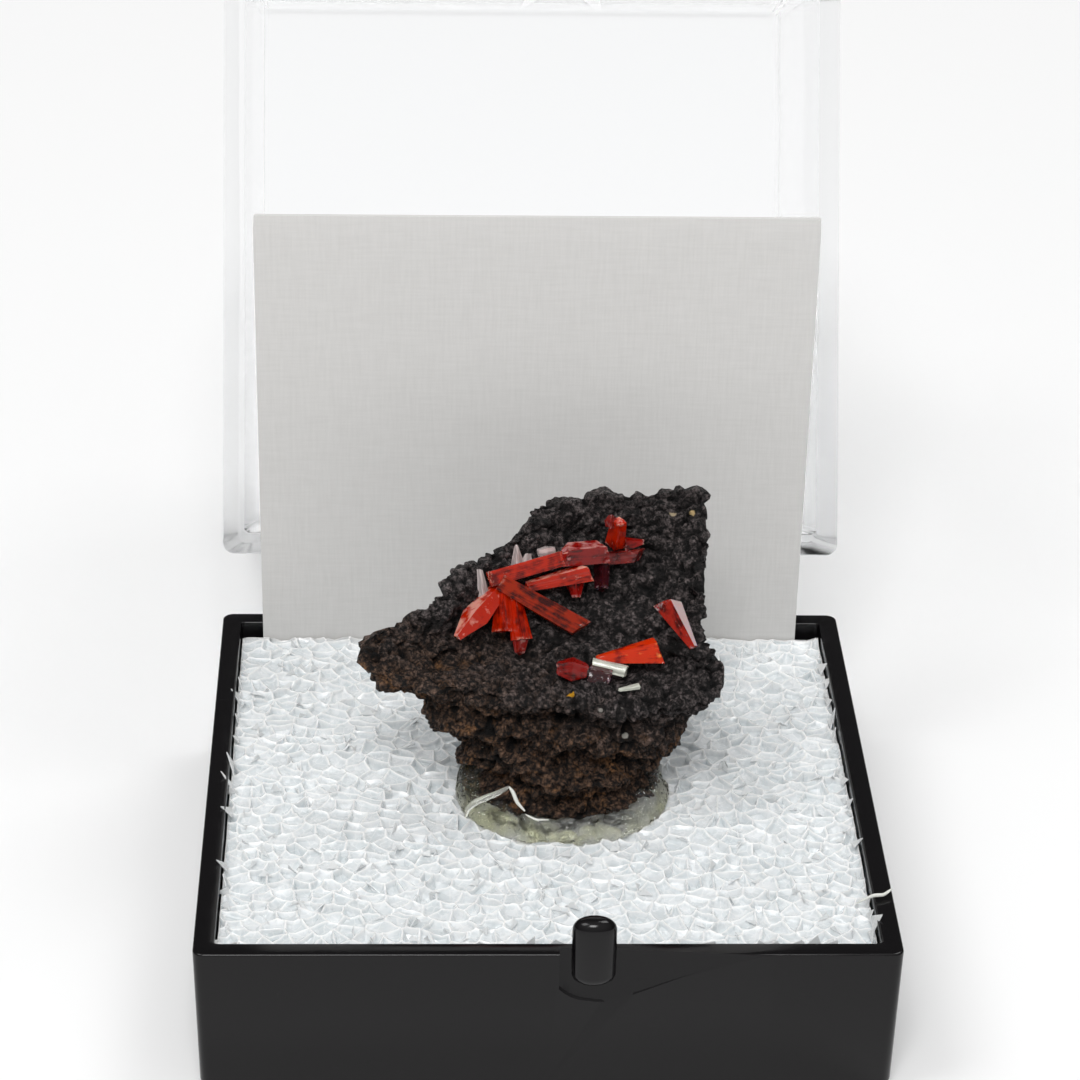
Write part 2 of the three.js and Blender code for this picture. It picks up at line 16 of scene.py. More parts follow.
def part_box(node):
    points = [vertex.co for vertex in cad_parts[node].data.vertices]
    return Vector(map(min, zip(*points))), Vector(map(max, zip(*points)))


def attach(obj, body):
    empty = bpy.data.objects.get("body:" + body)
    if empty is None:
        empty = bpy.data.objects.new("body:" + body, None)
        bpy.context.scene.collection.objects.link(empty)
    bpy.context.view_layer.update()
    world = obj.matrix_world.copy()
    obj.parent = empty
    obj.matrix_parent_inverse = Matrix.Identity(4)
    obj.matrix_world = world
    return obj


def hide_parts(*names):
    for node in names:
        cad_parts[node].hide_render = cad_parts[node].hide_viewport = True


MM = 0.001

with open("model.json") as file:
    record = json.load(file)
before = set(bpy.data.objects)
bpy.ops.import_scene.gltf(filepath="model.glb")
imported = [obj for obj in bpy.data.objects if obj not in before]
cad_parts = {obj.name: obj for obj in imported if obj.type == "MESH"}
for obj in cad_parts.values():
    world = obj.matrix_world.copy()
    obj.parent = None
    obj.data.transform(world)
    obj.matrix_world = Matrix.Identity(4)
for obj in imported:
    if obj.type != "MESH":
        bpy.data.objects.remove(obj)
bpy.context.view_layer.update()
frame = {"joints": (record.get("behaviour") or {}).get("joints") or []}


def box_mm(node):
    """Lowest and highest corner of a CAD node, in millimetres."""
    low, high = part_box(node)
    return np.array(low) / MM, np.array(high) / MM


# ---- driving dimensions, from the frame where it has them ----

TRAY_HIGH = box_mm("tray")[1]
FOAM_LOW, FOAM_HIGH = box_mm("foam_pad")
CARD_LOW, CARD_HIGH = box_mm("label_card")
GLUE_HIGH = box_mm("glue_puddle")[1]
LID_JOINT = next(j for j in frame["joints"] if j["name"] == "lid_hinge")

HALF = TRAY_HIGH[0]
HEIGHT = 7.5
WALL = 0.95
FLOOR = 1.2
CORNER = 0.5
TRAY_DRAFT = 0.026
LID_DEPTH = 25.4
LID_WALL = 1.1
LID_DRAFT = 0.0087
LID_GAP = 0.15
HINGE_Y, HINGE_Z = (v / MM for v in LID_JOINT["pos_m"][1:])
LID_OPEN = math.radians(LID_JOINT["range_deg"][1])
STATIONS = (-8.5, 8.5)
EAR_SIDE = 1.8


# ---- helpers ----


def smooth(a, b, v):
    """0 below a, 1 above b, and a soft step between them."""
    t = np.clip((v - a) / (b - a), 0, 1)
    return t * t * (3 - 2 * t)


def mesh_object(name, points, faces):
    """A mesh whose faces look outward, from points in millimetres."""
    points = np.asarray(points, float)
    if inward(points, faces):
        faces = [face[::-1] for face in faces]
    mesh = bpy.data.meshes.new(name)
    mesh.from_pydata((points * MM).tolist(), [], faces)
    piece = bpy.data.objects.new(name, mesh)
    bpy.context.scene.collection.objects.link(piece)
    return piece


def inward(points, faces):
    """Whether a closed skin's faces look into it."""
    fans = [(face[0], face[i], face[i + 1]) for face in faces for i in range(1, len(face) - 1)]
    a, b, c = (points[np.array(corner)] for corner in zip(*fans))
    return np.einsum("ij,ij->i", a, np.cross(b, c)).sum() < 0


def shade(piece, angle=35):
    """Smooth shading, with sharp edges where faces meet at more than an angle."""
    mesh = piece.data
    mesh.polygons.foreach_set("use_smooth", [True] * len(mesh.polygons))
    mesh.set_sharp_from_angle(angle=math.radians(angle))
    mesh.update()


def finish_piece(piece, node, look=None, angle=35, body="box"):
    """Gives a finished mesh its look, and puts it on its body in place of a CAD node."""
    if look is not None:
        piece.data.materials.clear()
        piece.data.materials.append(look)
    shade(piece, angle)
    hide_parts(node)
    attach(piece, body)


def loft(rings):
    """Points and faces of a closed skin over rings with equally many points."""
    rings = np.asarray(rings, float)
    count, n = rings.shape[:2]
    points = np.concatenate([rings.reshape(-1, 3), [rings[0].mean(0)], [rings[-1].mean(0)]])
    faces = []
    for r in range(count - 1):
        for i in range(n):
            k = (i + 1) % n
            faces.append((r * n + i, r * n + k, (r + 1) * n + k, (r + 1) * n + i))
    last = (count - 1) * n
    for i in range(n):
        k = (i + 1) % n
        faces.append((k, i, count * n))
        faces.append((last + i, last + k, count * n + 1))
    return points, faces


def quarter(steps):
    """Sine and cosine at even steps through a quarter turn."""
    return [(math.sin(a), math.cos(a)) for a in (s / steps * math.pi / 2 for s in range(steps + 1))]


def square_ring(half, corner, z, steps=12, side=6):
    """A level square ring with round corners, anticlockwise from above."""

    def on_corner(number, share):
        sx, sy = ((1, 1), (-1, 1), (-1, -1), (1, -1))[number % 4]
        a = (number + share) * math.pi / 2
        return np.array(
            (sx * (half - corner) + corner * math.cos(a), sy * (half - corner) + corner * math.sin(a), z)
        )

    ring = []
    for number in range(4):
        ring += [on_corner(number, s / steps) for s in range(steps + 1)]
        start, end = ring[-1], on_corner(number + 1, 0)
        ring += [start + (end - start) * t / side for t in range(1, side)]
    return ring


def prism_x(name, outline, x0, x1):
    """A closed solid: an outline in the YZ plane swept from x0 to x1."""
    n = len(outline)
    points = [(x0, y, z) for y, z in outline] + [(x1, y, z) for y, z in outline]
    faces = [tuple(range(n))[::-1], tuple(range(n, 2 * n))]
    faces += [(i, (i + 1) % n, n + (i + 1) % n, n + i) for i in range(n)]
    return mesh_object(name, points, faces)


def circle(y, z, radius, steps=40):
    """Points round a circle in the YZ plane."""
    angles = [2 * math.pi * i / steps for i in range(steps)]
    return [(y + radius * math.cos(a), z + radius * math.sin(a)) for a in angles]


def convex(points):
    """The outline of the smallest convex shape around some points in a plane, anticlockwise."""
    points = sorted(points)

    def half(sequence):
        kept = []
        for p in sequence:
            while len(kept) > 1 and cross(kept[-2], kept[-1], p) <= 0:
                kept.pop()
            kept.append(p)
        return kept[:-1]

    return half(points) + half(points[::-1])


def cross(a, b, c):
    """Above 0 where c lies to the left of the line from a to b."""
    return (b[0] - a[0]) * (c[1] - a[1]) - (b[1] - a[1]) * (c[0] - a[0])


def combine(piece, tool, operation):
    """Joins a tool to a piece or cuts it out, and deletes the tool."""
    modifier = piece.modifiers.new("combine", "BOOLEAN")
    modifier.object = tool
    modifier.operation = operation
    modifier.solver = "EXACT"
    modifier.material_mode = "TRANSFER"
    graph = bpy.context.evaluated_depsgraph_get()
    made = bpy.data.meshes.new_from_object(piece.evaluated_get(graph))
    piece.modifiers.clear()
    old = piece.data
    piece.data = made
    made.name = piece.name
    bpy.data.meshes.remove(old)
    tool_mesh = tool.data
    bpy.data.objects.remove(tool)
    bpy.data.meshes.remove(tool_mesh)


# ---- noise, the same as in the CAD source ----


def hash3(i, j, k, seed):
    """A number from 0 to 1 that looks random, for each cell."""
    n = np.sin(i * 12.9898 + j * 78.233 + k * 37.719 + seed * 11.13) * 43758.5453
    return n - np.floor(n)


def chances(number, row, count, seed):
    """A few such numbers for one thing."""
    return [float(hash3(number, row, n, seed)) for n in range(count)]


def noise(p, seed):
    """Smooth noise from -1 to 1 with a cell of one unit."""
    i = np.floor(p)
    u = (p - i) ** 2 * (3 - 2 * (p - i))
    total = 0
    for a in (0, 1):
        for b in (0, 1):
            for c in (0, 1):
                weight = (
                    (u[..., 0] if a else 1 - u[..., 0])
                    * (u[..., 1] if b else 1 - u[..., 1])
                    * (u[..., 2] if c else 1 - u[..., 2])
                )
                total = total + weight * hash3(i[..., 0] + a, i[..., 1] + b, i[..., 2] + c, seed)
    return 2 * total - 1


def roughness(p, cell, seed, octaves=2):
    """Noise in octaves, each half as high and about half as wide as the one before."""
    total, size, scale = 0, 1.0, 1.0
    for octave in range(octaves):
        total = total + size * noise(p * scale / cell, seed + octave)
        size *= 0.5
        scale *= 2.03
    return total


def lumps(p, cell, seed):
    """Round grape-like lumps, 0 in the creases and 1 on their tops."""
    q = p / cell
    base = np.floor(q)
    nearest = np.full(p.shape[:-1], 9.0)
    for a in (-1, 0, 1):
        for b in (-1, 0, 1):
            for c in (-1, 0, 1):
                at = base + np.array((a, b, c))
                jitter = [hash3(at[..., 0], at[..., 1], at[..., 2], seed + n) for n in (1, 2, 3)]
                nearest = np.minimum(nearest, np.linalg.norm(at + np.stack(jitter, -1) - q, axis=-1))
    return np.sqrt(np.clip(1 - (nearest / 0.75) ** 2, 0, 1))


# ---- node materials ----


class Look:
    """A small builder around one Principled material."""

    def __init__(self, name, **sockets):
        self.material = bpy.data.materials.new(name)
        self.material.use_nodes = True
        self.tree = self.material.node_tree
        self.shader = self.tree.nodes["Principled BSDF"]
        for socket, value in sockets.items():
            self.shader.inputs[socket.replace("_", " ")].default_value = value
        place = self.node("ShaderNodeTexCoord").outputs["Object"]
        scale = self.node("ShaderNodeVectorMath", operation="SCALE")
        self.mm = self.fill(scale, {0: place, "Scale": 1 / MM}).outputs[0]

    def node(self, kind, **settings):
        made = self.tree.nodes.new(kind)
        for key, value in settings.items():
            setattr(made, key, value)
        return made

    def fill(self, made, values):
        """Links each output to its socket of a node, and sets each plain value on its socket."""
        for socket, value in values.items():
            if isinstance(value, bpy.types.NodeSocket):
                self.link(value, made.inputs[socket])
            else:
                made.inputs[socket].default_value = value
        return made

    def link(self, output, socket):
        self.tree.links.new(output, socket)

    def attribute(self, name, output="Fac"):
        return self.node("ShaderNodeAttribute", attribute_name=name).outputs[output]

    def scaled(self, vector, scales):
        made = self.node("ShaderNodeVectorMath", operation="MULTIPLY")
        return self.fill(made, {0: vector, 1: scales}).outputs[0]

    def noise(self, scale, detail=4, rough=0.6, at=None):
        made = self.node("ShaderNodeTexNoise")
        values = {"Scale": scale, "Detail": detail, "Roughness": rough, "Vector": at or self.mm}
        return self.fill(made, values).outputs["Fac"]

    def cells(self, scale, feature="F1", at=None):
        made = self.node("ShaderNodeTexVoronoi", feature=feature)
        return self.fill(made, {"Scale": scale, "Vector": at or self.mm}).outputs["Distance"]

    def axis(self, which):
        return self.fill(self.node("ShaderNodeSeparateXYZ"), {0: self.mm}).outputs[which]

    def ramp(self, value, low, high):
        """0 below low and 1 above high."""
        made = self.node("ShaderNodeMapRange")
        return self.fill(made, {"From Min": low, "From Max": high, "Value": value}).outputs["Result"]

    def math(self, operation, a, b):
        return self.fill(self.node("ShaderNodeMath", operation=operation), {0: a, 1: b}).outputs[0]

    def times(self, a, b):
        return self.math("MULTIPLY", a, b)

    def plus(self, a, b):
        return self.math("ADD", a, b)

    def mix(self, factor, a, b):
        """Colour a where the factor is 0, and b where it is 1."""
        made = self.node("ShaderNodeMix", data_type="RGBA")
        a, b = ((*color, 1) if isinstance(color, tuple) else color for color in (a, b))
        return self.fill(made, {0: factor, 6: a, 7: b}).outputs[2]

    def set(self, socket, value):
        self.link(value, self.shader.inputs[socket])

    def bump(self, height, distance, strength=1.0, after=None):
        made = self.node("ShaderNodeBump")
        values = {"Strength": strength, "Distance": distance * MM, "Height": height}
        if after is not None:
            values["Normal"] = after
        return self.fill(made, values).outputs["Normal"]


def black_styrene():
    """Glossy black plastic with a little dust, haze and fine scratches."""
    look = Look("black_styrene", Roughness=0.14, IOR=1.5, Specular_IOR_Level=0.28)
    dust = look.ramp(look.noise(9.0, 6, 0.7), 0.66, 0.8)
    look.set("Base Color", look.mix(dust, (0.0035, 0.003, 0.0035), (0.03, 0.028, 0.028)))
    haze = look.ramp(look.noise(0.35, 5, 0.6), 0.3, 0.75)
    scratch = look.ramp(look.noise(1.0, 3, 0.6, look.scaled(look.mm, (0.3, 9, 9))), 0.62, 0.75)
    look.set("Roughness", look.plus(look.times(look.plus(haze, scratch), 0.12), 0.1))
    look.set("Normal", look.bump(look.noise(0.18, 2, 0.4), 0.25, 0.35))
    return look.material


def clear_styrene():
    """Clear plastic, hardly seen against a bright room: its index is set low for that."""
    look = Look(
        "clear_styrene",
        Base_Color=(0.99, 0.995, 1, 1),
        Roughness=0.05,
        IOR=1.07,
        Transmission_Weight=1.0,
    )
    look.set("Normal", look.bump(look.noise(0.12, 2, 0.4), 0.3, 0.2))
    return look.material


def foam_look():
    """Milky films of cut foam over a foam of one white: a painted highlight along the cut film edges,
    painted shade down in the cells, and lighter lines of the cells seen behind the films.
    """
    look = Look(
        "cut_foam",
        IOR=1.45,
        Subsurface_Weight=0.6,
        Subsurface_Radius=(0.95, 1.0, 1.05),
        Subsurface_Scale=0.3 * MM,
    )
    behind = look.ramp(look.cells(1.5, "DISTANCE_TO_EDGE"), 0.05, 0.0)
    # Painted light and shade: the ridge value is high on the cut edges and low down in the cells.
    edge_light_and_pit_shade = look.math("POWER", look.attribute("ridge"), 2.0)
    lines = look.math("MAXIMUM", edge_light_and_pit_shade, look.times(behind, 0.5))
    milky = look.ramp(look.noise(0.9, 4), 0.35, 0.65)
    tone = look.mix(milky, (0.58, 0.62, 0.635), (0.69, 0.71, 0.72))
    look.set("Base Color", look.mix(lines, tone, (0.8, 0.805, 0.8)))
    dull = look.ramp(look.noise(1.8, 3), 0.4, 0.6)
    look.set("Roughness", look.plus(look.times(dull, 0.3), 0.08))
    look.set("Normal", look.bump(look.noise(5.0, 3), 0.04, 0.5))
    return look.material


def linen_card():
    """Pale grey card with a pressed linen weave."""
    look = Look("linen_card", Roughness=0.85)
    across = look.noise(1.0, 3, 0.6, look.scaled(look.mm, (0.5, 1, 7)))
    along = look.noise(1.0, 3, 0.6, look.scaled(look.mm, (7, 1, 0.5)))
    weave = look.plus(across, along)
    threads = look.ramp(weave, 0.6, 1.4)
    look.set("Base Color", look.mix(threads, (0.6, 0.591, 0.577), (0.66, 0.65, 0.636)))
    look.set("Normal", look.bump(weave, 0.03, 0.25))
    return look.material


def glue_look():
    """Clear glue with a yellow tinge in places and a wavy surface."""
    look = Look(
        "hot_glue",
        Roughness=0.03,
        IOR=1.45,
        Specular_IOR_Level=1.0,
        Transmission_Weight=0.97,
        Subsurface_Weight=1.0,
        Subsurface_Radius=(1.0, 1.0, 0.9),
        Subsurface_Scale=0.3 * MM,
    )
    tint = look.ramp(look.noise(0.5, 2), 0.4, 0.62)
    look.set("Base Color", look.mix(tint, (1.0, 1.0, 0.97), (0.97, 0.98, 0.64)))
    look.set("Normal", look.bump(look.noise(2.2, 2), 0.45, 1.0))
    return look.material


# Small crystals and grains that lie on the rock: where, how large, and their colour
SPECKS = (
    ((7.38, 5.4, 18.74), 0.2, (0.7, 0.5, 0.24)),
    ((6.41, 5.7, 18.58), 0.17, (0.5, 0.4, 0.26)),
    ((1.22, -3.4, 13.72), 0.2, (0.75, 0.36, 0.01)),
    ((3.83, -3.81, 11.75), 0.16, (0.6, 0.58, 0.52)),
    ((-2.82, -2.2, 10.25), 0.15, (0.55, 0.5, 0.42)),
    ((2.6, -4.12, 13.28), 0.12, (0.35, 0.33, 0.3)),
    ((3.67, -4.03, 13.39), 0.12, (0.35, 0.33, 0.3)),
)


def gossan():
    """The rock: black beads over most of it, brown and rusty low down and to the left, with painted
    highlights on the bead tops and painted shade in the creases between them.
    """
    look = Look("gossan", IOR=1.5, Specular_IOR_Level=0.3)
    raised = look.attribute("raised")
    patches = look.noise(0.42, 5, 0.6)
    grain = look.noise(3.5, 6, 0.75)
    tall = look.plus(look.axis(2), look.times(look.axis(0), 0.28))
    lower = look.ramp(look.plus(tall, look.times(patches, 4.0)), 16.4, 13.6)
    # Painted highlight: the tops of the raised grains are painted light grey over the black.
    painted_crest_highlight = look.times(look.ramp(raised, 0.3, 0.9), look.ramp(grain, 0.43, 0.6))
    black = look.mix(painted_crest_highlight, (0.003, 0.0022, 0.0022), (0.26, 0.215, 0.21))
    brown = look.mix(look.ramp(grain, 0.42, 0.68), (0.012, 0.007, 0.005), (0.33, 0.19, 0.12))
    rust = look.times(look.ramp(look.noise(0.8, 5, 0.65), 0.54, 0.68), lower)
    color = look.mix(lower, black, look.mix(rust, brown, (0.42, 0.2, 0.08)))
    bead = look.cells(5.2, "F1", warped(look))
    # Painted shade: darker towards the edges of the bead cells, between the beads.
    color = look.mix(look.ramp(bead, 0.3, 0.8), color, (0.002, 0.0012, 0.001))
    # Painted shade: darker where the relief is low, in the creases and pits.
    color = look.mix(look.ramp(raised, 0.6, 0.15), color, (0.001, 0.0007, 0.0006))
    for place, size, tone in SPECKS:
        away = look.fill(look.node("ShaderNodeVectorMath", operation="DISTANCE"), {0: look.mm, 1: place})
        ragged = look.plus(away.outputs["Value"], look.times(grain, 0.12))
        color = look.mix(look.ramp(ragged, size + 0.09, size + 0.04), color, tone)
    look.set("Base Color", color)
    glints = look.times(look.ramp(look.noise(7.0, 3, 0.7), 0.52, 0.6), look.ramp(raised, 0.4, 0.8))
    look.set("Roughness", look.plus(look.times(glints, -0.4), 0.65))
    beads = look.bump(look.times(bead, -1.0), 0.14, 1.0)
    look.set("Normal", look.bump(look.noise(8.0, 8, 0.8), 0.2, 1.0, beads))
    return look.material


def warped(look):
    """A look's own coordinates, pushed about by noise so that cells in them turn ragged."""
    reach = (0.6, 0.6, 0.6)
    push = look.fill(look.node("ShaderNodeTexNoise"), {"Scale": 2.5, "Vector": look.mm})
    shifted = look.node("ShaderNodeVectorMath", operation="MULTIPLY_ADD")
    return look.fill(shifted, {0: push.outputs["Color"], 1: reach, 2: look.mm}).outputs[0]


def crocoite(name, color, deep, pale, transmission, shine):
    """A crystal whose sides run from pale over its own colour to deep, with streaks and flaws: the pale is
    a painted highlight and sheen, and the deep partly its own darker red and partly painted shade, as each
    side's tone follows the way it faces.
    """
    look = Look(
        name,
        Roughness=0.06,
        IOR=1.6,
        Specular_IOR_Level=shine,
        Transmission_Weight=transmission,
        Subsurface_Weight=0.2,
        Subsurface_Radius=(1.0, 0.05, 0.01),
        Subsurface_Scale=0.5 * MM,
    )
    tone = look.attribute("tone")
    end = look.attribute("end")
    streaks = look.noise(1.0, 4, 0.6, crystal_grain(look, 0.5, 9))
    flaws = look.ramp(look.noise(1.0, 4, 0.65, crystal_grain(look, 1.6, 4)), 0.64, 0.72)
    cloud = look.times(look.plus(look.noise(1.6, 3, 0.5), -0.5), 5.5)
    uneven = look.plus(cloud, look.times(look.plus(streaks, -0.5), 4.0))
    shown = look.plus(tone, uneven)
    frost = look.times(look.ramp(end, 0.15, 0.0), look.ramp(look.noise(3.0, 4), 0.5, 0.7))
    # Painted light and shade: a side's tone, which follows the way it faces, takes it toward the deep
    # colour, partly the crystal's own darker red and partly painted shade, and through the sheen below
    # toward the pale colour, a painted highlight.
    base = look.mix(look.ramp(shown, 0.0, 1.2), color, deep)
    sheen = look.ramp(look.plus(tone, look.times(cloud, 0.5)), -0.75, -1.15)
    base = look.mix(look.times(sheen, 0.8), base, pale)
    shown_flaws = look.times(flaws, look.ramp(tone, 0.7, -1.0))
    look.set("Base Color", look.mix(look.math("MAXIMUM", frost, shown_flaws), base, pale))
    chips = look.bump(look.times(look.cells(3.0), look.ramp(end, 0.6, 0.0)), 0.06, 0.8)
    swells = look.bump(look.noise(1.1, 2, 0.4), 0.04, 1.0, chips)
    look.set("Normal", look.bump(streaks, 0.008, 0.7, swells))
    return look.material


def crystal_grain(look, along, across):
    """A crystal's own coordinates, with a scale along it and one across it."""
    return look.scaled(look.attribute("grain", "Vector"), (along, across, across))


def pale_crystal(name, color, transmission):
    """A pale or clear crystal with darker streaks along it."""
    look = Look(name, Roughness=0.06, IOR=1.6, Transmission_Weight=transmission)
    streaks = look.noise(1.0, 3, 0.6, crystal_grain(look, 0.5, 7))
    look.set("Base Color", look.mix(look.ramp(streaks, 0.42, 0.58), color, tuple(c * 0.5 for c in color)))
    look.set("Normal", look.bump(streaks, 0.01, 0.8))
    return look.material


# ---- tray ----


def tray_shell():
    """The tray's body: a square cup with rounded edges."""
    foot, lip, inset = 0.5, 0.1, 0.001

    def at(z):
        return HALF - TRAY_DRAFT * (HEIGHT - z)

    rings = []
    for sin, cos in quarter(6):
        z = foot * (1 - cos)
        rings.append(square_ring(at(z) - foot * (1 - sin) - inset, CORNER, z))
    for sin, cos in quarter(4):
        rings.append(square_ring(at(HEIGHT) - lip * (1 - cos), CORNER, HEIGHT - lip + lip * sin))
    for sin, cos in quarter(4):
        half = at(HEIGHT) - WALL + lip * (1 - sin)
        rings.append(square_ring(half, CORNER / 2, HEIGHT - lip * (1 - cos)))
    rings.append(square_ring(at(FLOOR) - WALL, CORNER / 2, FLOOR + lip))
    rings.append(square_ring(at(FLOOR) - WALL - lip, CORNER / 2, FLOOR))
    return mesh_object("tray", *loft(rings))


def post():
    """The oval post in the front rim, with a rounded top."""
    x, inset, above, below, dome = 2.0, 0.35, 1.7, 1.6, 0.6
    wide, deep, around = 1.0, 0.6, 48
    angles = np.arange(around) * 2 * math.pi / around

    def ring(z, scale):
        y = -HALF + inset + deep * scale * np.sin(angles)
        return np.stack([x + wide * scale * np.cos(angles), y, np.full(around, z)], -1)

    low, high = HEIGHT - below, HEIGHT + above
    rings = [ring(low, 0.7), ring(low + 0.15, 0.9), ring(low + 0.4, 1.0)]
    for a in np.linspace(0, math.pi / 2, 12)[:-1]:
        rings.append(ring(high - dome + dome * math.sin(a), math.cos(a) ** 0.7))
    return mesh_object("post", *loft(rings))


# The recess's lower edge: x, and how far below the rim it lies
RECESS_EDGE = (
    (0.45, 1.9), (0.8, 2.25), (1.3, 2.5), (2.3, 2.65), (3.2, 2.45),
    (4.1, 2.1), (5.9, 1.3), (8.0, 0.55), (9.8, 0),
)  # fmt: skip


def thumb_recess():
    """The shallow scoop around the post and to its right, as the solid to cut away."""
    depth, past = 0.6, 0.4
    places, drops = zip(*RECESS_EDGE)
    rings = []
    for x in np.linspace(places[0], places[-1], 40):
        low = HEIGHT - np.interp(x, places, drops)
        share = (places[-1] - x) / (places[-1] - places[0])
        section = (
            (-past, HEIGHT + past),
            (-past, low - past),
            (0.01, low),
            (0.01 + 0.07 * share, low + 0.06),
            (0.01 + 0.13 * share, low + 0.2),
            (0.02 + depth * share, HEIGHT + past),
        )
        rings.append([(x, y - HALF, z) for y, z in section])
    return mesh_object("recess", *loft(rings))


def ear(x):
    """One hinge ear with its web and the bore for the lid's pin."""
    half_width, eye_radius, bore_radius, past = 0.6, 1.15, 0.62, 1
    x0, x1 = x - half_width, x + half_width
    top = HEIGHT - 0.3
    inner, middle, outer = HALF - 0.35, HALF + 0.15, HALF + 0.3
    eye = convex(circle(HINGE_Y, HINGE_Z, eye_radius) + [(middle, top), (middle, HEIGHT - 2.6)])
    web = [(inner, HEIGHT - 3.2), (outer, HEIGHT - 2.7), (outer, top), (inner, top)]
    bore = circle(HINGE_Y, HINGE_Z, bore_radius)
    piece = prism_x("ear", eye, x0, x1)
    combine(piece, prism_x("web", web, x0, x1), "UNION")
    combine(piece, prism_x("bore", bore, x0 - past, x1 + past), "DIFFERENCE")
    return piece


def make_tray():
    piece = tray_shell()
    combine(piece, thumb_recess(), "DIFFERENCE")
    combine(piece, post(), "UNION")
    for x in STATIONS:
        for side in (-EAR_SIDE, EAR_SIDE):
            combine(piece, ear(x + side), "UNION")
    finish_piece(piece, "tray", black_styrene(), 32)


# ---- lid ----


def lid_shell():
    """The lid as it sits when shut: an upturned square cup."""
    fillet, lip, edge = 0.3, 0.1, 0.5
    inner_corner, outer_corner = 0.3, 0.6
    rim = HEIGHT + LID_GAP
    top = rim + LID_DEPTH
    ceiling = top - LID_WALL

    def at(z):
        return HALF - LID_DRAFT * (z - rim)

    rings = []
    for sin, cos in quarter(5):
        half = at(ceiling) - (LID_WALL + fillet * (1 - sin))
        rings.append(square_ring(half, inner_corner, ceiling - fillet * (1 - cos)))
    for sin, cos in quarter(3):
        half = at(rim) - LID_WALL + lip * (1 - cos)
        rings.append(square_ring(half, inner_corner, rim + lip * (1 - sin)))
    for sin, cos in quarter(3):
        rings.append(square_ring(at(rim) - lip * (1 - sin), outer_corner, rim + lip * (1 - cos)))
    for sin, cos in quarter(6):
        rings.append(square_ring(at(top) - edge * (1 - cos), outer_corner, top - edge + edge * sin))
    return mesh_object("lid", *loft(rings))


def post_slot():
    """The notch in the lid's front wall that clears the tray's post, as the solid to cut away."""
    left, right, height, radius, past = 0.75, 3.25, 1.95, 0.5, 1
    rim = HEIGHT + LID_GAP
    outline = [(left, rim - past), (right, rim - past)]
    for corner, start in ((right - radius, 0), (left + radius, math.pi / 2)):
        for s in range(9):
            a = start + s / 8 * math.pi / 2
            outline.append((corner + radius * math.cos(a), rim + height - radius + radius * math.sin(a)))
    n = len(outline)
    points = [(x, y, z) for y in (-HALF - past, -HALF + LID_WALL + past) for x, z in outline]
    faces = [tuple(range(n)), tuple(range(2 * n - 1, n - 1, -1))]
    faces += [(i, n + i, n + (i + 1) % n, (i + 1) % n) for i in range(n)]
    return mesh_object("slot", points, faces)


def knuckle(x):
    """One hinge knuckle with its web and its pin."""
    half_width, eye_radius, pin_radius, pin_reach = 1.05, 1.05, 0.52, 2.45
    x0, x1 = x - half_width, x + half_width
    low, high, top = HINGE_Z - 1.0, HINGE_Z + 1.9, HINGE_Z + 2.2
    inner, middle, outer = HALF - 0.4, HALF + 0.1, HALF + 0.2
    web = [(inner, low), (outer, low), (outer, high), (inner, top)]
    eye = convex(circle(HINGE_Y, HINGE_Z, eye_radius) + [(middle, low), (middle, high)])
    pin = circle(HINGE_Y, HINGE_Z, pin_radius)
    piece = prism_x("knuckle", web, x0, x1)
    combine(piece, prism_x("eye", eye, x0, x1), "UNION")
    combine(piece, prism_x("pin", pin, x - pin_reach, x + pin_reach), "UNION")
    return piece


def make_lid():
    """The lid, swung back to its open place about the hinge."""
    piece = lid_shell()
    combine(piece, post_slot(), "DIFFERENCE")
    for x in STATIONS:
        combine(piece, knuckle(x), "UNION")
    hinge = Vector((0, HINGE_Y, HINGE_Z)) * MM
    turn = Matrix.Rotation(-LID_OPEN, 4, "X")
    piece.data.transform(Matrix.Translation(hinge) @ turn @ Matrix.Translation(-hinge))
    finish_piece(piece, "lid", clear_styrene(), 32, "lid")


# ---- foam ----

GLUE_MIDDLE = np.array((1.06, -1.1))
GLUE_RADIUS = 5.2
GLUE_OVAL = 0.88
GLUE_DIP = 1.15
GLUE_SINK = 0.3
FOAM_PITCH = 0.84
FOAM_LEVEL = 7.05
FOAM_EDGE = 7.1
SHARDS = 260
RIM_PLACES = 40
FILM_HALF = 0.02

# How light a point of the foam is painted, from painted shade low in the cells to 1 for the painted
# highlight of a cut edge
FILM_LIGHTNESS = 0.6
SIDE_LIGHTNESS = 0.4


def glue_share(x, y):
    """How far out a place is from the glue's middle: 1 at the puddle's edge."""
    return math.hypot(x - GLUE_MIDDLE[0], (y - GLUE_MIDDLE[1]) / GLUE_OVAL) / GLUE_RADIUS


def clipped(polygon, nx, ny, limit):
    """The part of a convex outline where nx * x + ny * y stays under a limit."""
    kept = []
    for (ax, ay), (bx, by) in zip(polygon, polygon[1:] + polygon[:1]):
        a, b = nx * ax + ny * ay - limit, nx * bx + ny * by - limit
        if a <= 0:
            kept.append((ax, ay))
        if a * b < 0:
            t = a / (a - b)
            kept.append((ax + (bx - ax) * t, ay + (by - ay) * t))
    return kept


def foam_sites():
    """The middles of the cells: a grid with every second row shifted, shaken by chance."""
    shake = 1.2
    low, high = FOAM_LOW[:2], FOAM_HIGH[:2]
    counts = np.ceil((high - low) / FOAM_PITCH).astype(int) + 2
    j, i = np.meshgrid(np.arange(counts[1]), np.arange(counts[0]), indexing="ij")
    zero = np.zeros(i.shape)
    x = low[0] + FOAM_PITCH * (i - 0.5 + shake * (hash3(i, j, zero, 3) - 0.5) + 0.5 * (j % 2))
    y = low[1] + FOAM_PITCH * (j - 0.5 + shake * (hash3(i, j, zero, 4) - 0.5))
    return np.stack((x.ravel(), y.ravel()), -1)


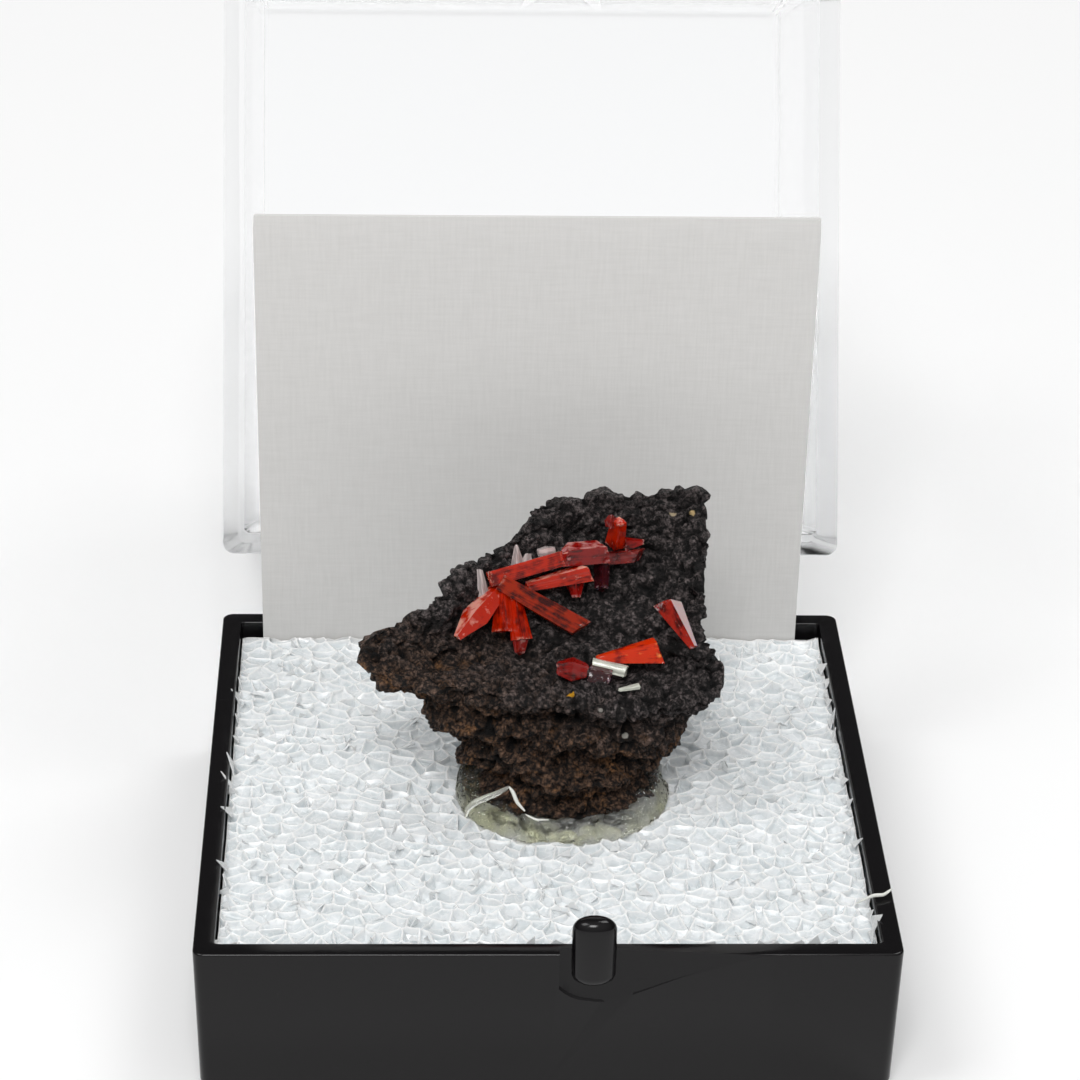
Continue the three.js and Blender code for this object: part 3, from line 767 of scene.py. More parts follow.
def foam_cells():
    """The outlines of the cut-open cells, which fill the pad's top without gaps."""
    low, high = FOAM_LOW[:2], FOAM_HIGH[:2]
    reach = 2 * FOAM_PITCH
    sites = foam_sites()
    cells = []
    for site in sites:
        away = sites - site
        distance = np.hypot(*away.T)
        near = [n for n in np.argsort(distance)[1:26] if distance[n] < 3.5 * FOAM_PITCH]
        outline = [tuple(site + reach * np.array(c)) for c in ((-1, -1), (1, -1), (1, 1), (-1, 1))]
        for n in near:
            outline = clipped(outline, *away[n], away[n] @ (sites[n] + site) / 2)
        for nx, ny, limit in ((1, 0, high[0]), (-1, 0, -low[0]), (0, 1, high[1]), (0, -1, -low[1])):
            outline = clipped(outline, nx, ny, limit) if outline else []
        if len(outline) > 2:
            cells.append(np.array(outline))
    return cells


class Weld:
    """Collects points with a value each, and gives edge points (value 1) at one place one number."""

    def __init__(self):
        self.points, self.values, self.numbers = [], [], {}

    def add(self, point, value):
        key = tuple(round(c, 3) for c in point[:2])
        if value == 1 and key in self.numbers:
            return self.numbers[key]
        self.points.append(tuple(point))
        self.values.append(value)
        if value == 1:
            self.numbers[key] = len(self.points) - 1
        return len(self.points) - 1


def foam_level(x, y):
    """The pad's uneven top, lowered under the glue, and 1 under the glue or 0 outside it."""
    swell = 0.14 * roughness(np.array((x, y, 0.0)), 2.2, 21)
    under = 1 - smooth(0.95, 1.02, glue_share(x, y))
    return FOAM_LEVEL + swell * (1 - under) - GLUE_SINK * under, under


def film_edge(a, b):
    """The cut edge of the film between two cell corners: it sags between them."""
    if tuple(a) > tuple(b):
        return film_edge(b, a)[::-1]
    edge = []
    for t in (0, 0.33, 0.67, 1):
        x, y = a + (b - a) * t
        level, under = foam_level(x, y)
        peak = 0.11 * noise(np.array((x / 0.37, y / 0.37, 0.0)), 54) - 0.05 * math.sin(math.pi * t)
        edge.append((x, y, level + peak * (1 - under)))
    return edge


def cell_floor(outline, centre, level, depth, chance):
    """A few low places under a cell, each at a depth of its own."""
    floor = []
    for n, p in enumerate(outline[:: max(1, len(outline) // 3)]):
        drop = depth * (0.75 + 0.5 * chance[n % 5 + 1])
        floor.append((*(centre + (p - centre) * 0.45), level - drop))
    return floor


def foam_cell(outline, number, weld, faces):
    """One cell: film edges round it, and films that lean in to a broken, faceted bottom."""
    film_top, film_foot = 0.035, 0.11
    chance = chances(number, 7, 8, 61)
    centre = outline.mean(0)
    level, under = foam_level(*centre)
    depth = (0.16 + 0.3 * chance[0] ** 2) * (1 - 0.8 * under)
    floor = cell_floor(outline, centre, level, depth, chance)
    rim = []
    for a, b in zip(outline, np.roll(outline, -1, 0)):
        rim += film_edge(a, b)[:-1]
    ring = list(dict.fromkeys(weld.add(p, 1) for p in rim))
    # The values given here set each point's painted light: the edges and the film just inside them light,
    # the films lower in the cell in painted shade, and the shallow cells under the glue nearly as light as
    # the edges.
    inner, lower = [], []
    for x, y, z in [weld.points[n] for n in ring]:
        away = np.array((x, y)) - centre
        size = max(np.hypot(*away), 1e-6)
        inner.append(weld.add((*(centre + away * (1 - film_top / size)), z - 0.02), 0.95))
        foot = min(floor, key=lambda f: (f[0] - x) ** 2 + (f[1] - y) ** 2)
        mid = centre + away * (1 - film_foot / size)
        place = (mid[0] * 0.9 + foot[0] * 0.1, mid[1] * 0.9 + foot[1] * 0.1, z * 0.35 + foot[2] * 0.65)
        lower.append(weld.add(place, 0.1 + 0.8 * under))
    bottom = [weld.add(f, 0.9 * under) for f in floor]
    fill_cell(ring, inner, lower, bottom, weld, faces)


def fill_cell(ring, inner, lower, bottom, weld, faces):
    """The faces of a cell, from its edges down to its bottom."""
    nearest = [
        min(bottom, key=lambda n: math.dist(weld.points[n][:2], weld.points[p][:2])) for p in lower
    ]
    for i in range(len(ring)):
        k = (i + 1) % len(ring)
        faces.append((ring[i], ring[k], inner[k], inner[i]))
        faces.append((inner[i], inner[k], lower[k], lower[i]))
        faces.append((lower[i], lower[k], *dict.fromkeys((nearest[k], nearest[i]))))
    if len(bottom) > 2:
        faces.append(tuple(bottom))


def foam_skirt(weld, faces):
    """The pad's sides and underside, below the outer film edges."""
    seen = {}
    for face in faces:
        for a, b in zip(face, face[1:] + face[:1]):
            seen[(a, b)] = seen.get((a, b), 0) + 1
    open_edges = [(a, b) for (a, b) in seen if (b, a) not in seen]
    shrink = 1 - TRAY_DRAFT * (FOAM_EDGE - FOAM_LOW[2]) / FOAM_HIGH[0]
    base = {}
    for a, b in open_edges:
        for n in (a, b):
            if n not in base:
                x, y, _ = weld.points[n]
                base[n] = weld.add((x * shrink, y * shrink, FOAM_LOW[2]), SIDE_LIGHTNESS)
    centre = weld.add((0, 0, FOAM_LOW[2]), SIDE_LIGHTNESS)
    for a, b in open_edges:
        faces.append((b, a, base[a], base[b]))
        faces.append((base[b], base[a], centre))


def film(weld, faces, root, along, lean, tip):
    """One thin torn film: a triangle on a root line, with a little thickness."""
    thick = np.cross(along, lean)
    thick *= FILM_HALF / np.linalg.norm(thick)
    outline = [root, root + along, root + along * tip + lean]
    front = [weld.add(p - thick, FILM_LIGHTNESS) for p in outline]
    back = [weld.add(p + thick, FILM_LIGHTNESS) for p in outline]
    faces += [tuple(front), tuple(back[::-1])]
    faces += [(front[k], back[k], back[(k + 1) % 3], front[(k + 1) % 3]) for k in range(3)]


def foam_shards(weld, faces):
    """Torn films that lie over the cut cells, but not in the glue."""
    margin = 0.3
    low, span = FOAM_LOW + margin, FOAM_HIGH - FOAM_LOW - 2 * margin
    for n in range(SHARDS):
        chance = chances(n, 3, 8, 71)
        x, y = low[0] + span[0] * chance[0], low[1] + span[1] * chance[1]
        level, under = foam_level(x, y)
        if under > 0:
            continue
        turn = 2 * math.pi * chance[2]
        along = np.array((math.cos(turn), math.sin(turn), 0)) * (0.3 + 0.5 * chance[3])
        lean = np.array((-math.sin(turn), math.cos(turn), 0)) * 0.5 * (chance[4] - 0.5)
        lean[2] = 0.15 + 0.3 * chance[5]
        film(weld, faces, np.array((x, y, level - 0.1)), along, lean, chance[6])


def rim_films(weld, faces):
    """Cut cell walls that stand up at the pad's left, right and front edges and reach over the rim."""
    kept = 0.35
    sides = (((-1, 0, 0), 0.5), ((1, 0, 0), 0.35), ((0, -1, 0), 0.05))
    length = FOAM_HIGH[1] - FOAM_LOW[1] - 1.2
    for side, (out, reach) in enumerate(sides):
        out = np.array(out)
        for n in range(RIM_PLACES):
            chance = chances(n, side, 7, 83)
            if chance[3] > kept:
                continue
            root = out * (FOAM_HIGH[0] - 0.25 * chance[1])
            root[1 if side < 2 else 0] = FOAM_LOW[1] + 0.4 + (n + chance[0]) / RIM_PLACES * length
            root[2] = FOAM_EDGE
            along = np.array((out[1], out[0], 0)) * (0.5 + 0.8 * chance[2]) + out * 0.3 * (chance[3] - 0.5)
            lean = out * reach * (0.2 + chance[4]) + np.array((0, 0, 0.3 + 0.4 * chance[5] ** 2))
            film(weld, faces, root, along, lean, chance[6])


def make_foam():
    weld, faces = Weld(), []
    for number, outline in enumerate(foam_cells()):
        foam_cell(outline, number, weld, faces)
    foam_skirt(weld, faces)
    foam_shards(weld, faces)
    rim_films(weld, faces)
    piece = mesh_object("foam_pad", weld.points, faces)
    # The ridge values become the foam's painted light and shade.
    ridge = piece.data.attributes.new("ridge", "FLOAT", "POINT")
    ridge.data.foreach_set("value", np.array(weld.values, np.float32))
    finish_piece(piece, "foam_pad", foam_look(), 25)


# ---- card and glue ----


def make_card():
    """A card with soft edges, in front of the tray's back wall. It widens a little upwards."""
    half_bottom, half_top, soft = 13.645, 13.88, 0.05
    across, up = 40, 40
    low, high = CARD_LOW, CARD_HIGH
    middle = (low[1] + high[1]) / 2
    rings = []
    for j in range(up + 1):
        t = j / up
        edge = soft if j in (0, up) else 0.0
        half = half_bottom + (half_top - half_bottom) * t - edge
        thick = (high[1] - low[1]) / 2 - edge * 0.8
        z = low[2] + (high[2] - low[2]) * t
        xs = np.linspace(-half, half, across + 1) + (low[0] + high[0]) / 2
        rings.append([(x, middle - thick, z) for x in xs] + [(x, middle + thick, z) for x in xs[::-1]])
    finish_piece(mesh_object("label_card", *loft(rings)), "label_card", linen_card(), 30)


def make_glue():
    """The puddle of glue: lower in front, heaped at the back left, with lumps and fine radial ribs."""
    around, up = 504, 20
    bottom, bottom_reach = 6.6, 4.6
    heap_height, heap_at = 0.9, math.radians(155)
    angle = np.arange(around) * 2 * math.pi / around
    heap = heap_height * np.maximum(0, np.cos(angle - heap_at)) ** 4
    rise = GLUE_HIGH[2] + heap - GLUE_DIP * np.maximum(0, -np.sin(angle)) - bottom
    sides = 0.25 + 0.75 * np.cos(angle) ** 2
    ribs = (np.cos(84 * angle + 2.4 * np.sin(5 * angle)) + 0.5 * np.cos(131 * angle + 1.1)) * sides
    lobes = np.cos(14 * angle) + 0.8 * np.cos(5 * angle + 2.0)

    def ring(reach, height):
        x = GLUE_MIDDLE[0] + reach * np.cos(angle)
        y = GLUE_MIDDLE[1] + GLUE_OVAL * reach * np.sin(angle)
        return np.stack((x, y, bottom + height), -1)

    rings = [ring(bottom_reach, 0 * angle)]
    for n in range(up + 1):
        a = (n / up) * math.pi / 2
        bulge = math.sin(2 * a) ** 0.7 if 0 < n < up else 0
        reach = GLUE_RADIUS * (0.52 + 0.46 * math.cos(a) ** 0.75) + bulge * (0.06 * lobes + 0.06 * ribs)
        height = rise * (0.2 + 0.8 * math.sin(a) ** 1.2) + bulge * 0.04 * np.roll(ribs, 3)
        blobs = bulge * (1.2 - sides) * (lumps(ring(reach, height), 0.8, 91) - 0.55)
        rings.append(ring(reach + 0.8 * blobs, height + 0.8 * blobs))
    finish_piece(mesh_object("glue_puddle", *loft(rings)), "glue_puddle", glue_look(), 60)


def drawn_glue(name, transmission):
    """Glue drawn out thin, more or less clear."""
    look = Look(name, Roughness=0.15, IOR=1.48, Transmission_Weight=transmission)
    look.set("Base Color", look.mix(look.noise(2.0, 3), (0.82, 0.84, 0.78), (0.95, 0.95, 0.9)))
    return look.material


def strand(name, points, radius):
    """A thin round thread through some points, thinner at its ends."""
    steps, around = 28, 10
    points = np.array(points, float)
    t = np.linspace(0, len(points) - 1, steps)
    path = np.stack([np.interp(t, np.arange(len(points)), points[:, c]) for c in range(3)], -1)
    for _ in range(6):
        path[1:-1] = (path[:-2] + 2 * path[1:-1] + path[2:]) / 4
    angles = np.arange(around) * 2 * math.pi / around
    rings = []
    for n, p in enumerate(path):
        along = path[min(n + 1, steps - 1)] - path[max(n - 1, 0)]
        along /= np.linalg.norm(along)
        side = np.cross(along, (0.3, 0.2, 0.9))
        side /= np.linalg.norm(side)
        over = np.cross(along, side)
        size = radius * (0.35 + 0.65 * math.sin(math.pi * (n + 0.5) / steps))
        rings.append([p + size * (math.cos(a) * side + math.sin(a) * over) for a in angles])
    return mesh_object(name, *loft(rings))


def make_strands():
    """Threads of drawn glue on the rock's foot, and a torn thread of foam on the right rim."""
    white = drawn_glue("drawn_glue", 0.3)
    clear = drawn_glue("drawn_film", 0.8)
    knot = (-1.57, -4.1, 9.1)
    band = [knot, (-1.39, -4.3, 8.95), (-1.2, -4.6, 8.55), (-0.83, -4.9, 8.25)]
    ribbon = [knot, (-2.0, -4.3, 8.9), (-3.1, -4.6, 8.6), (-3.5, -4.7, 8.3), (-3.6, -4.9, 7.9)]
    hair = [(-0.8, -4.95, 8.1), (-0.3, -5.2, 7.95), (0.3, -5.1, 7.9)]
    torn = [(14.2, -11.2, 7.2), (14.9, -11.4, 7.75), (15.4, -11.3, 7.7), (15.8, -11.0, 7.85)]
    finish_piece(strand("glue_band", band, 0.1), "glue_puddle", white, 60)
    finish_piece(strand("glue_ribbon", ribbon, 0.16), "glue_puddle", clear, 60)
    finish_piece(strand("glue_hair", hair, 0.06), "glue_puddle", white, 60)
    finish_piece(strand("foam_thread", torn, 0.09), "foam_pad", white, 60)


# ---- rock ----

ROCK_FOOT = np.array((1.0, -0.8, 7.2))
FOOT_LEFT, FOOT_RIGHT, FOOT_Y = 4.5, 4.1, 3.25
FACE_MIDDLE = np.array((1.4, 2.3, 8.2))
FACE_TILT = math.radians(30)
FACE_OUT = np.array((0, -math.sin(FACE_TILT), math.cos(FACE_TILT)))
FACE_HOLLOW = 1.0
FOOT_END = 0.1
RIM_AT = 0.56
HOLLOW = np.array((1.9, 2.3, 7.4))

# azimuth, reach, height and bend of the rim of the upper face, as in the CAD source
RIM = np.array(
    (
        (-176, 10.3, 7.2, 2.0), (-171, 8.8, 6.8, 2.0), (-166, 6.9, 6.6, 1.9), (-158, 5.2, 6.5, 1.5),
        (-143, 3.9, 6.5, 1.0), (-115, 3.0, 6.3, 1.0), (-90, 2.9, 6.2, 1.0), (-67, 3.1, 6.2, 1.0),
        (-40, 4.6, 6.0, 1.4), (-25, 6.3, 6.2, 1.6), (-12, 7.9, 6.8, 1.6), (-5, 7.5, 7.2, 1.4),
        (2, 6.4, 7.9, 1.1), (17, 6.9, 9.0, 0.9), (30, 7.9, 10.1, 1.0), (40, 9.1, 11.2, 1.0),
        (47, 10.5, 12.1, 1.1), (52, 9.5, 12.1, 1.1), (58, 8.6, 11.9, 1.1), (66, 7.8, 11.8, 1.1),
        (76, 7.5, 12.0, 1.1), (86, 7.0, 11.6, 1.1), (96, 7.1, 11.7, 1.1), (103, 6.4, 11.4, 1.1),
        (115, 5.7, 10.7, 1.1), (130, 5.4, 10.1, 1.2), (146, 6.1, 9.7, 1.3), (158, 6.2, 9.0, 1.6),
        (168, 6.9, 8.6, 1.8), (175, 8.5, 8.0, 2.0), (179, 9.6, 7.7, 2.0),
    )
)  # fmt: skip


def rim_at(azimuth):
    """Reach, height and bend of the rim, with its corners rounded over a few degrees."""
    total = 0
    for shift, weight in ((-4, 0.25), (0, 0.5), (4, 0.25)):
        columns = [np.interp(azimuth + shift, RIM[:, 0], RIM[:, c], period=360) for c in (1, 2, 3)]
        total = total + weight * np.stack(columns)
    return total


def skin_at(azimuth, s):
    """The rock's smooth skin: s runs from the foot's middle, over the rim, to the face's middle."""
    a = np.radians(azimuth)
    cos, sin = np.cos(a), np.sin(a)
    reach, height, bend = rim_at(azimuth)
    foot = 1 / np.hypot(cos / np.where(cos < 0, FOOT_LEFT, FOOT_RIGHT), sin / FOOT_Y)
    t = np.clip((s - FOOT_END) / (RIM_AT - FOOT_END), 0, 1)
    r = np.where(s < FOOT_END, foot * s / FOOT_END, foot + (reach - foot) * t**bend)
    side = np.stack((r * cos, r * sin, height * t), -1)
    q = np.clip((1 - s) / (1 - RIM_AT), 0, 1)[..., None]
    rim = np.stack((reach * cos, reach * sin, height), -1)
    dip = FACE_HOLLOW * (1 - smooth(0.35, 1.0, q))
    face = FACE_MIDDLE + (rim - FACE_MIDDLE) * q - dip * FACE_OUT
    return np.where((s > RIM_AT)[..., None], face, side)


def skin_normal(azimuth, s):
    """The smooth skin's outward direction, from its slopes around and upward."""
    around = skin_at(azimuth + 2, s) - skin_at(azimuth - 2, s)
    upward = skin_at(azimuth, np.minimum(s + 0.004, 1)) - skin_at(azimuth, s - 0.004)
    normal = np.cross(around, upward)
    return normal / np.maximum(np.linalg.norm(normal, axis=-1, keepdims=True), 1e-9)


def relief(p, steepness):
    """How far the rock stands out of its skin, and how raised each point is among its grains."""
    ledge = np.sin(2 * math.pi * (p[..., 2] / 1.9 + 0.35 * roughness(p, 2.5, 5)))
    coarse = (
        0.42 * roughness(p, 3.1, 3)
        + 0.26 * roughness(p, 1.1, 9)
        + 0.3 * steepness * ledge
        + 0.34 * (lumps(p, 1.0, 2) - 0.6)
    )
    hollow = np.linalg.norm((p - HOLLOW) / np.array((2.7, 1.6, 1.6)), axis=-1)
    granular = 0.2 + 0.8 * smooth(0.7, 1.25, hollow)
    grape = lumps(p + 0.1 * noise(p / 0.4, 41)[..., None], 0.52, 7)
    bead = lumps(p, 0.3, 17)
    fine = 0.32 * (grape - 0.65) + 0.22 * (bead - 0.6) + 0.12 * roughness(p, 0.26, 13, 2)
    pits = -0.32 * steepness * smooth(0.2, 0.7, roughness(p, 0.9, 23))
    strata = 0.1 * steepness * np.sin(2 * math.pi * (p[..., 2] / 0.62 + 0.6 * roughness(p, 1.3, 29)))
    raised = np.clip(0.5 * grape + 0.4 * bead + 1.2 * pits + 0.1, 0, 1)
    return (coarse + granular * fine + pits + strata) * smooth(0, 0.6, p[..., 2]), raised


def near_crystals(points):
    """1 where the rock lies against a crystal, falling to 0 away from it."""
    near = np.zeros(points.shape[:-1])
    for plans, _ in CRYSTALS.values():
        for plan in plans:
            start, end = np.array((plan.start, plan.end), float)
            along = end - start
            t = np.clip((points - start) @ along / (along @ along), 0, 1)
            away = np.linalg.norm(points - start - t[..., None] * along, axis=-1)
            width = plan.size[0]
            near = np.maximum(near, 1 - smooth(0.45 * width, 0.45 * width + 0.35, away))
    return near


def make_rock():
    """The rock's skin with its relief, pushed in a little where a crystal sits."""
    around, up = 470, 208
    azimuth, s = np.meshgrid(np.arange(around) * 360 / around - 180, (np.arange(up) + 0.5) / up)
    skin = skin_at(azimuth, s)
    normal = skin_normal(azimuth, s)
    steepness = 1 - smooth(0, 0.6, normal[..., 2])
    out, raised = relief(skin, steepness)
    points = skin + normal * out[..., None] + ROCK_FOOT
    points -= normal * (0.3 * near_crystals(points))[..., None]
    piece = mesh_object("matrix", *loft(points))
    # The raised values drive the rock look's painted crest highlights and painted crease shade.
    values = np.concatenate((raised.ravel(), (0.5, 0.5))).astype(np.float32)
    piece.data.attributes.new("raised", "FLOAT", "POINT").data.foreach_set("value", values)
    finish_piece(piece, "matrix", gossan(), 60)


# ---- crystals ----

class Plan(NamedTuple):
    """One crystal, with its shape as in the CAD source."""

    start: tuple
    end: tuple
    size: tuple  # width and thickness
    look: str
    # Painted light and shade: these tones set, by the way each side faces, how pale or deep it is painted,
    # partly its own colour and partly painted highlight and shade.
    side_tone_and_sheen: tuple = (0, 0.3)  # how pale (-1) or deep (1) its sides facing against and along across are
    ridge: float = 0  # where its upper edge lies across the width, from -1 to 1
    roll: float = 0  # in degrees
    share: tuple = (1, 1)  # the section's share of the size at each end
    belly: tuple = ()  # where it is thickest, and the section's share there
    slant: tuple = (0, 0)  # how far each end face leans along it
    tip: float = 0  # the length of a point at its first end, of which half is broken off
    fluted: float = 0.006  # how deep its striations are


SPRAY = (
    Plan(
        (-4.0, 0, 14.85), (-2.0, 2.1, 16.35), (1.45, 1.2), "red", (-0.95, -0.5),
        ridge=0.2, roll=-10, share=(0.3, 0.65), belly=(0.42, 1),
    ),
    Plan(
        (-1.85, 1.75, 16.35), (-1.8, 0.75, 14.75), (1.15, 1.0), "red", (0.1, 0.45),
        share=(0.55, 1), fluted=0.03,
    ),
    Plan(
        (-1.3, 1.75, 16.15), (-0.95, 0.55, 14.45), (1.05, 0.95), "red", (0.35, 0.0),
        ridge=0.2, share=(0.6, 1), fluted=0.03,
    ),
    Plan(
        (-1.0, 0.7, 14.6), (-1.05, 0, 14.0), (0.85, 0.75), "pink", (-0.5, -0.1),
        share=(1, 0.55), fluted=0.03,
    ),
    Plan(
        (-1.95, 1.85, 16.8), (1.9, 1.2, 14.7), (1.0, 0.85), "brown", (0.9, 0.6),
        ridge=-0.5, roll=-6, share=(0.9, 1.1), slant=(0, -0.35), fluted=0.03,
    ),
    Plan((-2.45, 2.0, 16.9), (1.0, 3.2, 17.4), (0.95, 1.0), "red", (-1.0, 0.2), ridge=-0.1, roll=-8),
    Plan(
        (1.15, 3.4, 17.5), (3.0, 4.0, 17.35), (1.3, 1.25), "deep", (-0.9, 0.1),
        ridge=0.15, roll=5, slant=(-0.3, 0.2), tip=0.45,
    ),
    Plan(
        (-0.7, 2.2, 16.4), (2.2, 3.0, 16.75), (1.1, 0.95), "red", (-0.85, 0.1),
        share=(0.55, 1), slant=(0, 0.2), fluted=0.025,
    ),
    Plan((1.6, 2.8, 16.4), (1.7, 2.35, 15.75), (1.0, 0.7), "deep", (0.3, 0.6), share=(1, 0.4)),
    Plan(
        (3.6, 4.8, 17.3), (3.75, 4.5, 18.75), (1.0, 0.9), "red", (0.0, 0.4),
        ridge=0.2, share=(1, 0.75),
    ),
    Plan(
        (3.35, 4.5, 18.4), (3.4, 4.7, 18.95), (0.6, 0.55), "pink", (-0.4, 0.0),
        share=(0.8, 0.5), belly=(0.5, 1.1),
    ),
    Plan((4.1, 4.7, 17.4), (4.95, 4.65, 17.55), (0.8, 0.6), "deep", (0.0, 0.3), share=(1, 0.35)),
    Plan((3.1, 4.15, 16.9), (4.75, 4.2, 17.05), (0.75, 0.75), "pink", (0.0, 0.4), slant=(0, -0.3)),
    Plan((2.95, 4.0, 16.8), (2.9, 2.85, 15.95), (0.8, 0.8), "purple", (-0.4, 0.3), share=(1, 0.8)),
)
RIGHT = (
    # Its side facing against its across direction is painted nearly all pale: a painted grey-white
    # reflection.
    Plan(
        (5.95, 1.05, 16.1), (7.1, -1.1, 14.95), (1.25, 0.9), "grey", (-2.6, 0.3),
        ridge=-0.35, roll=15, share=(1, 0.3), slant=(-0.3, 0),
    ),
)
LOWER = (
    Plan(
        (2.6, -0.5, 13.95), (5.5, -0.6, 14.5), (1.5, 1.0), "orange", (0.1, 0.0),
        ridge=-0.2, share=(0.3, 1), slant=(0, 0.2), fluted=0.03,
    ),
)
PALE = (
    Plan((2.35, -1.0, 14.0), (3.95, -1.4, 13.8), (0.65, 0.6), "pale", ridge=-0.3, fluted=0.02),
    Plan((2.2, -1.5, 13.8), (3.2, -1.75, 13.7), (1.3, 0.7), "purple", share=(0.8, 0.7)),
)
CHUNK = (
    Plan(
        (0.65, -1.75, 14.2), (2.1, -1.85, 14.1), (1.2, 1.2), "deep", (-0.4, 0.2),
        share=(0.6, 0.6), belly=(0.5, 1.1),
    ),
)
SHARD_LEFT = (
    Plan((-1.1, 3.1, 16.95), (-1.2, 3.4, 18.0), (0.75, 0.4), "clear", share=(1, 0.2)),
    Plan((-0.75, 3.2, 16.95), (-0.6, 3.45, 17.5), (0.7, 0.4), "clear", share=(1, 0.4)),
)
SHARD_RIGHT = (
    Plan(
        (-0.15, 3.65, 17.45), (0.7, 3.85, 17.5), (0.6, 0.6), "clear",
        share=(0.7, 0.7), belly=(0.5, 1.1),
    ),
)
CLEAR_FLAKE = (
    Plan((-2.75, 1.85, 16.1), (-2.95, 2.1, 17.35), (0.55, 0.18), "clear", share=(1, 0.5)),
)
PALE_FLAKE = (
    Plan((3.5, -3.15, 13.8), (4.5, -2.95, 13.9), (0.5, 0.35), "pale", share=(0.4, 0.7)),
)

CRYSTALS = {
    "crocoite_spray": (SPRAY, "crocoite"),
    "crocoite_right": (RIGHT, "crocoite"),
    "crocoite_lower": (LOWER, "crocoite"),
    "crocoite_chunk": (CHUNK, "crocoite"),
    "pale_prism": (PALE, "pale_crystal"),
    "shard_left": (SHARD_LEFT, "pale_crystal"),
    "shard_right": (SHARD_RIGHT, "pale_crystal"),
    "clear_flake": (CLEAR_FLAKE, "pale_crystal"),
    "pale_flake": (PALE_FLAKE, "pale_crystal"),
}

# Each crocoite: its colour, its deep and its pale tone, its transmission and its specular level; the pale
# tone is the colour of its painted highlights and sheen
CROCOITES = {
    "red": ((0.54, 0.018, 0.001), (0.14, 0.003, 0.0005), (0.97, 0.48, 0.38), 0.3, 0.3),
    "deep": ((0.32, 0.006, 0.003), (0.05, 0.001, 0.0005), (0.8, 0.4, 0.38), 0.35, 0.12),
    "orange": ((0.68, 0.032, 0.001), (0.22, 0.004, 0.0005), (0.95, 0.3, 0.07), 0.25, 0.2),
    "brown": ((0.36, 0.02, 0.001), (0.05, 0.002, 0.0005), (0.45, 0.2, 0.15), 0.3, 0.1),
    "pink": ((0.3, 0.015, 0.01), (0.08, 0.003, 0.003), (0.8, 0.45, 0.43), 0.45, 0.3),
    "purple": ((0.06, 0.006, 0.01), (0.015, 0.002, 0.003), (0.5, 0.3, 0.36), 0.45, 0.3),
    "grey": ((0.35, 0.015, 0.006), (0.07, 0.002, 0.001), (0.6, 0.5, 0.5), 0.2, 0.3),
}


def crystal_looks():
    looks = {name: crocoite(f"crocoite_{name}", *values) for name, values in CROCOITES.items()}
    looks["pale"] = pale_crystal("pale_striated", (0.9, 0.92, 0.8), 0.3)
    looks["clear"] = pale_crystal("clear_shard", (0.9, 0.78, 0.76), 0.45)
    return looks


def crystal_frame(plan):
    """Start, length and the three directions of a crystal: along, across and up."""
    start, end = np.array((plan.start, plan.end), float)
    length = np.linalg.norm(end - start)
    axis = (end - start) / length
    across = np.cross(axis, FACE_OUT)
    across /= np.linalg.norm(across)
    roll = math.radians(plan.roll)
    across = across * math.cos(roll) + np.cross(axis, across) * math.sin(roll)
    return start, length, axis, across, np.cross(across, axis)


def fluted_section(plan, seed, steps=10):
    """A crystal's section: four sides with fine steps across them."""
    width, thick = (size / 2 for size in plan.size)
    ridge = plan.ridge * width
    corners = np.array(((-width, 0), (ridge, thick), (width, 0), (-ridge, -thick)))
    section = []
    for k in range(4):
        a, b = corners[k], corners[(k + 1) % 4]
        out = np.array((-(b - a)[1], (b - a)[0])) / np.linalg.norm(b - a)
        for i in range(steps):
            groove = plan.fluted * (float(hash3(i // 2, k, 0, seed)) - 0.8) if i else 0
            section.append(a + (b - a) * (i / steps) + out * groove)
    return np.array(section)


def crystal(name, plan, seed, look):
    """One prism with lengthwise striations and slightly broken ends."""
    start, length, axis, across, up = crystal_frame(plan)
    section = fluted_section(plan, seed)
    zero = np.zeros(len(section))
    share, slant = plan.share, plan.slant
    belly_at, belly = plan.belly or (0, share[0])
    side = section[:, 0] * 2 / plan.size[0]
    rough = np.stack((section[:, 0] / 0.3, section[:, 1] / 0.3, zero + seed), -1)
    chip = 0.05 * noise(rough, seed + 9)
    rings = []
    for t in np.linspace(0, 1, 13):
        size = np.interp(t, (0, max(belly_at, 1e-6), 1), (share[0], belly, share[1]))
        along = length * t + ((1 - t) * slant[0] + t * slant[1]) * side
        if t in (0, 1):
            along = along + chip * (1 if t else -1)
        rings.append(start + axis * along[:, None] + size * (across * section[:, :1] + up * section[:, 1:]))
    for last in (False, True):
        ring = rings[-1] if last else rings[0]
        point = 0 if last else plan.tip
        bumps = 0.07 * (hash3(np.arange(len(section)) // 4, zero, zero + last, seed + 3) - 0.5)
        out = axis * (1 if last else -1)
        middle = ring.mean(0)
        cap = middle + (ring - middle) * 0.5 + out * (bumps + point * 0.5)[:, None]
        rings.insert(len(rings) if last else 0, cap)
    solid = mesh_object(name, *loft(rings))
    solid.data.materials.append(look)
    return solid


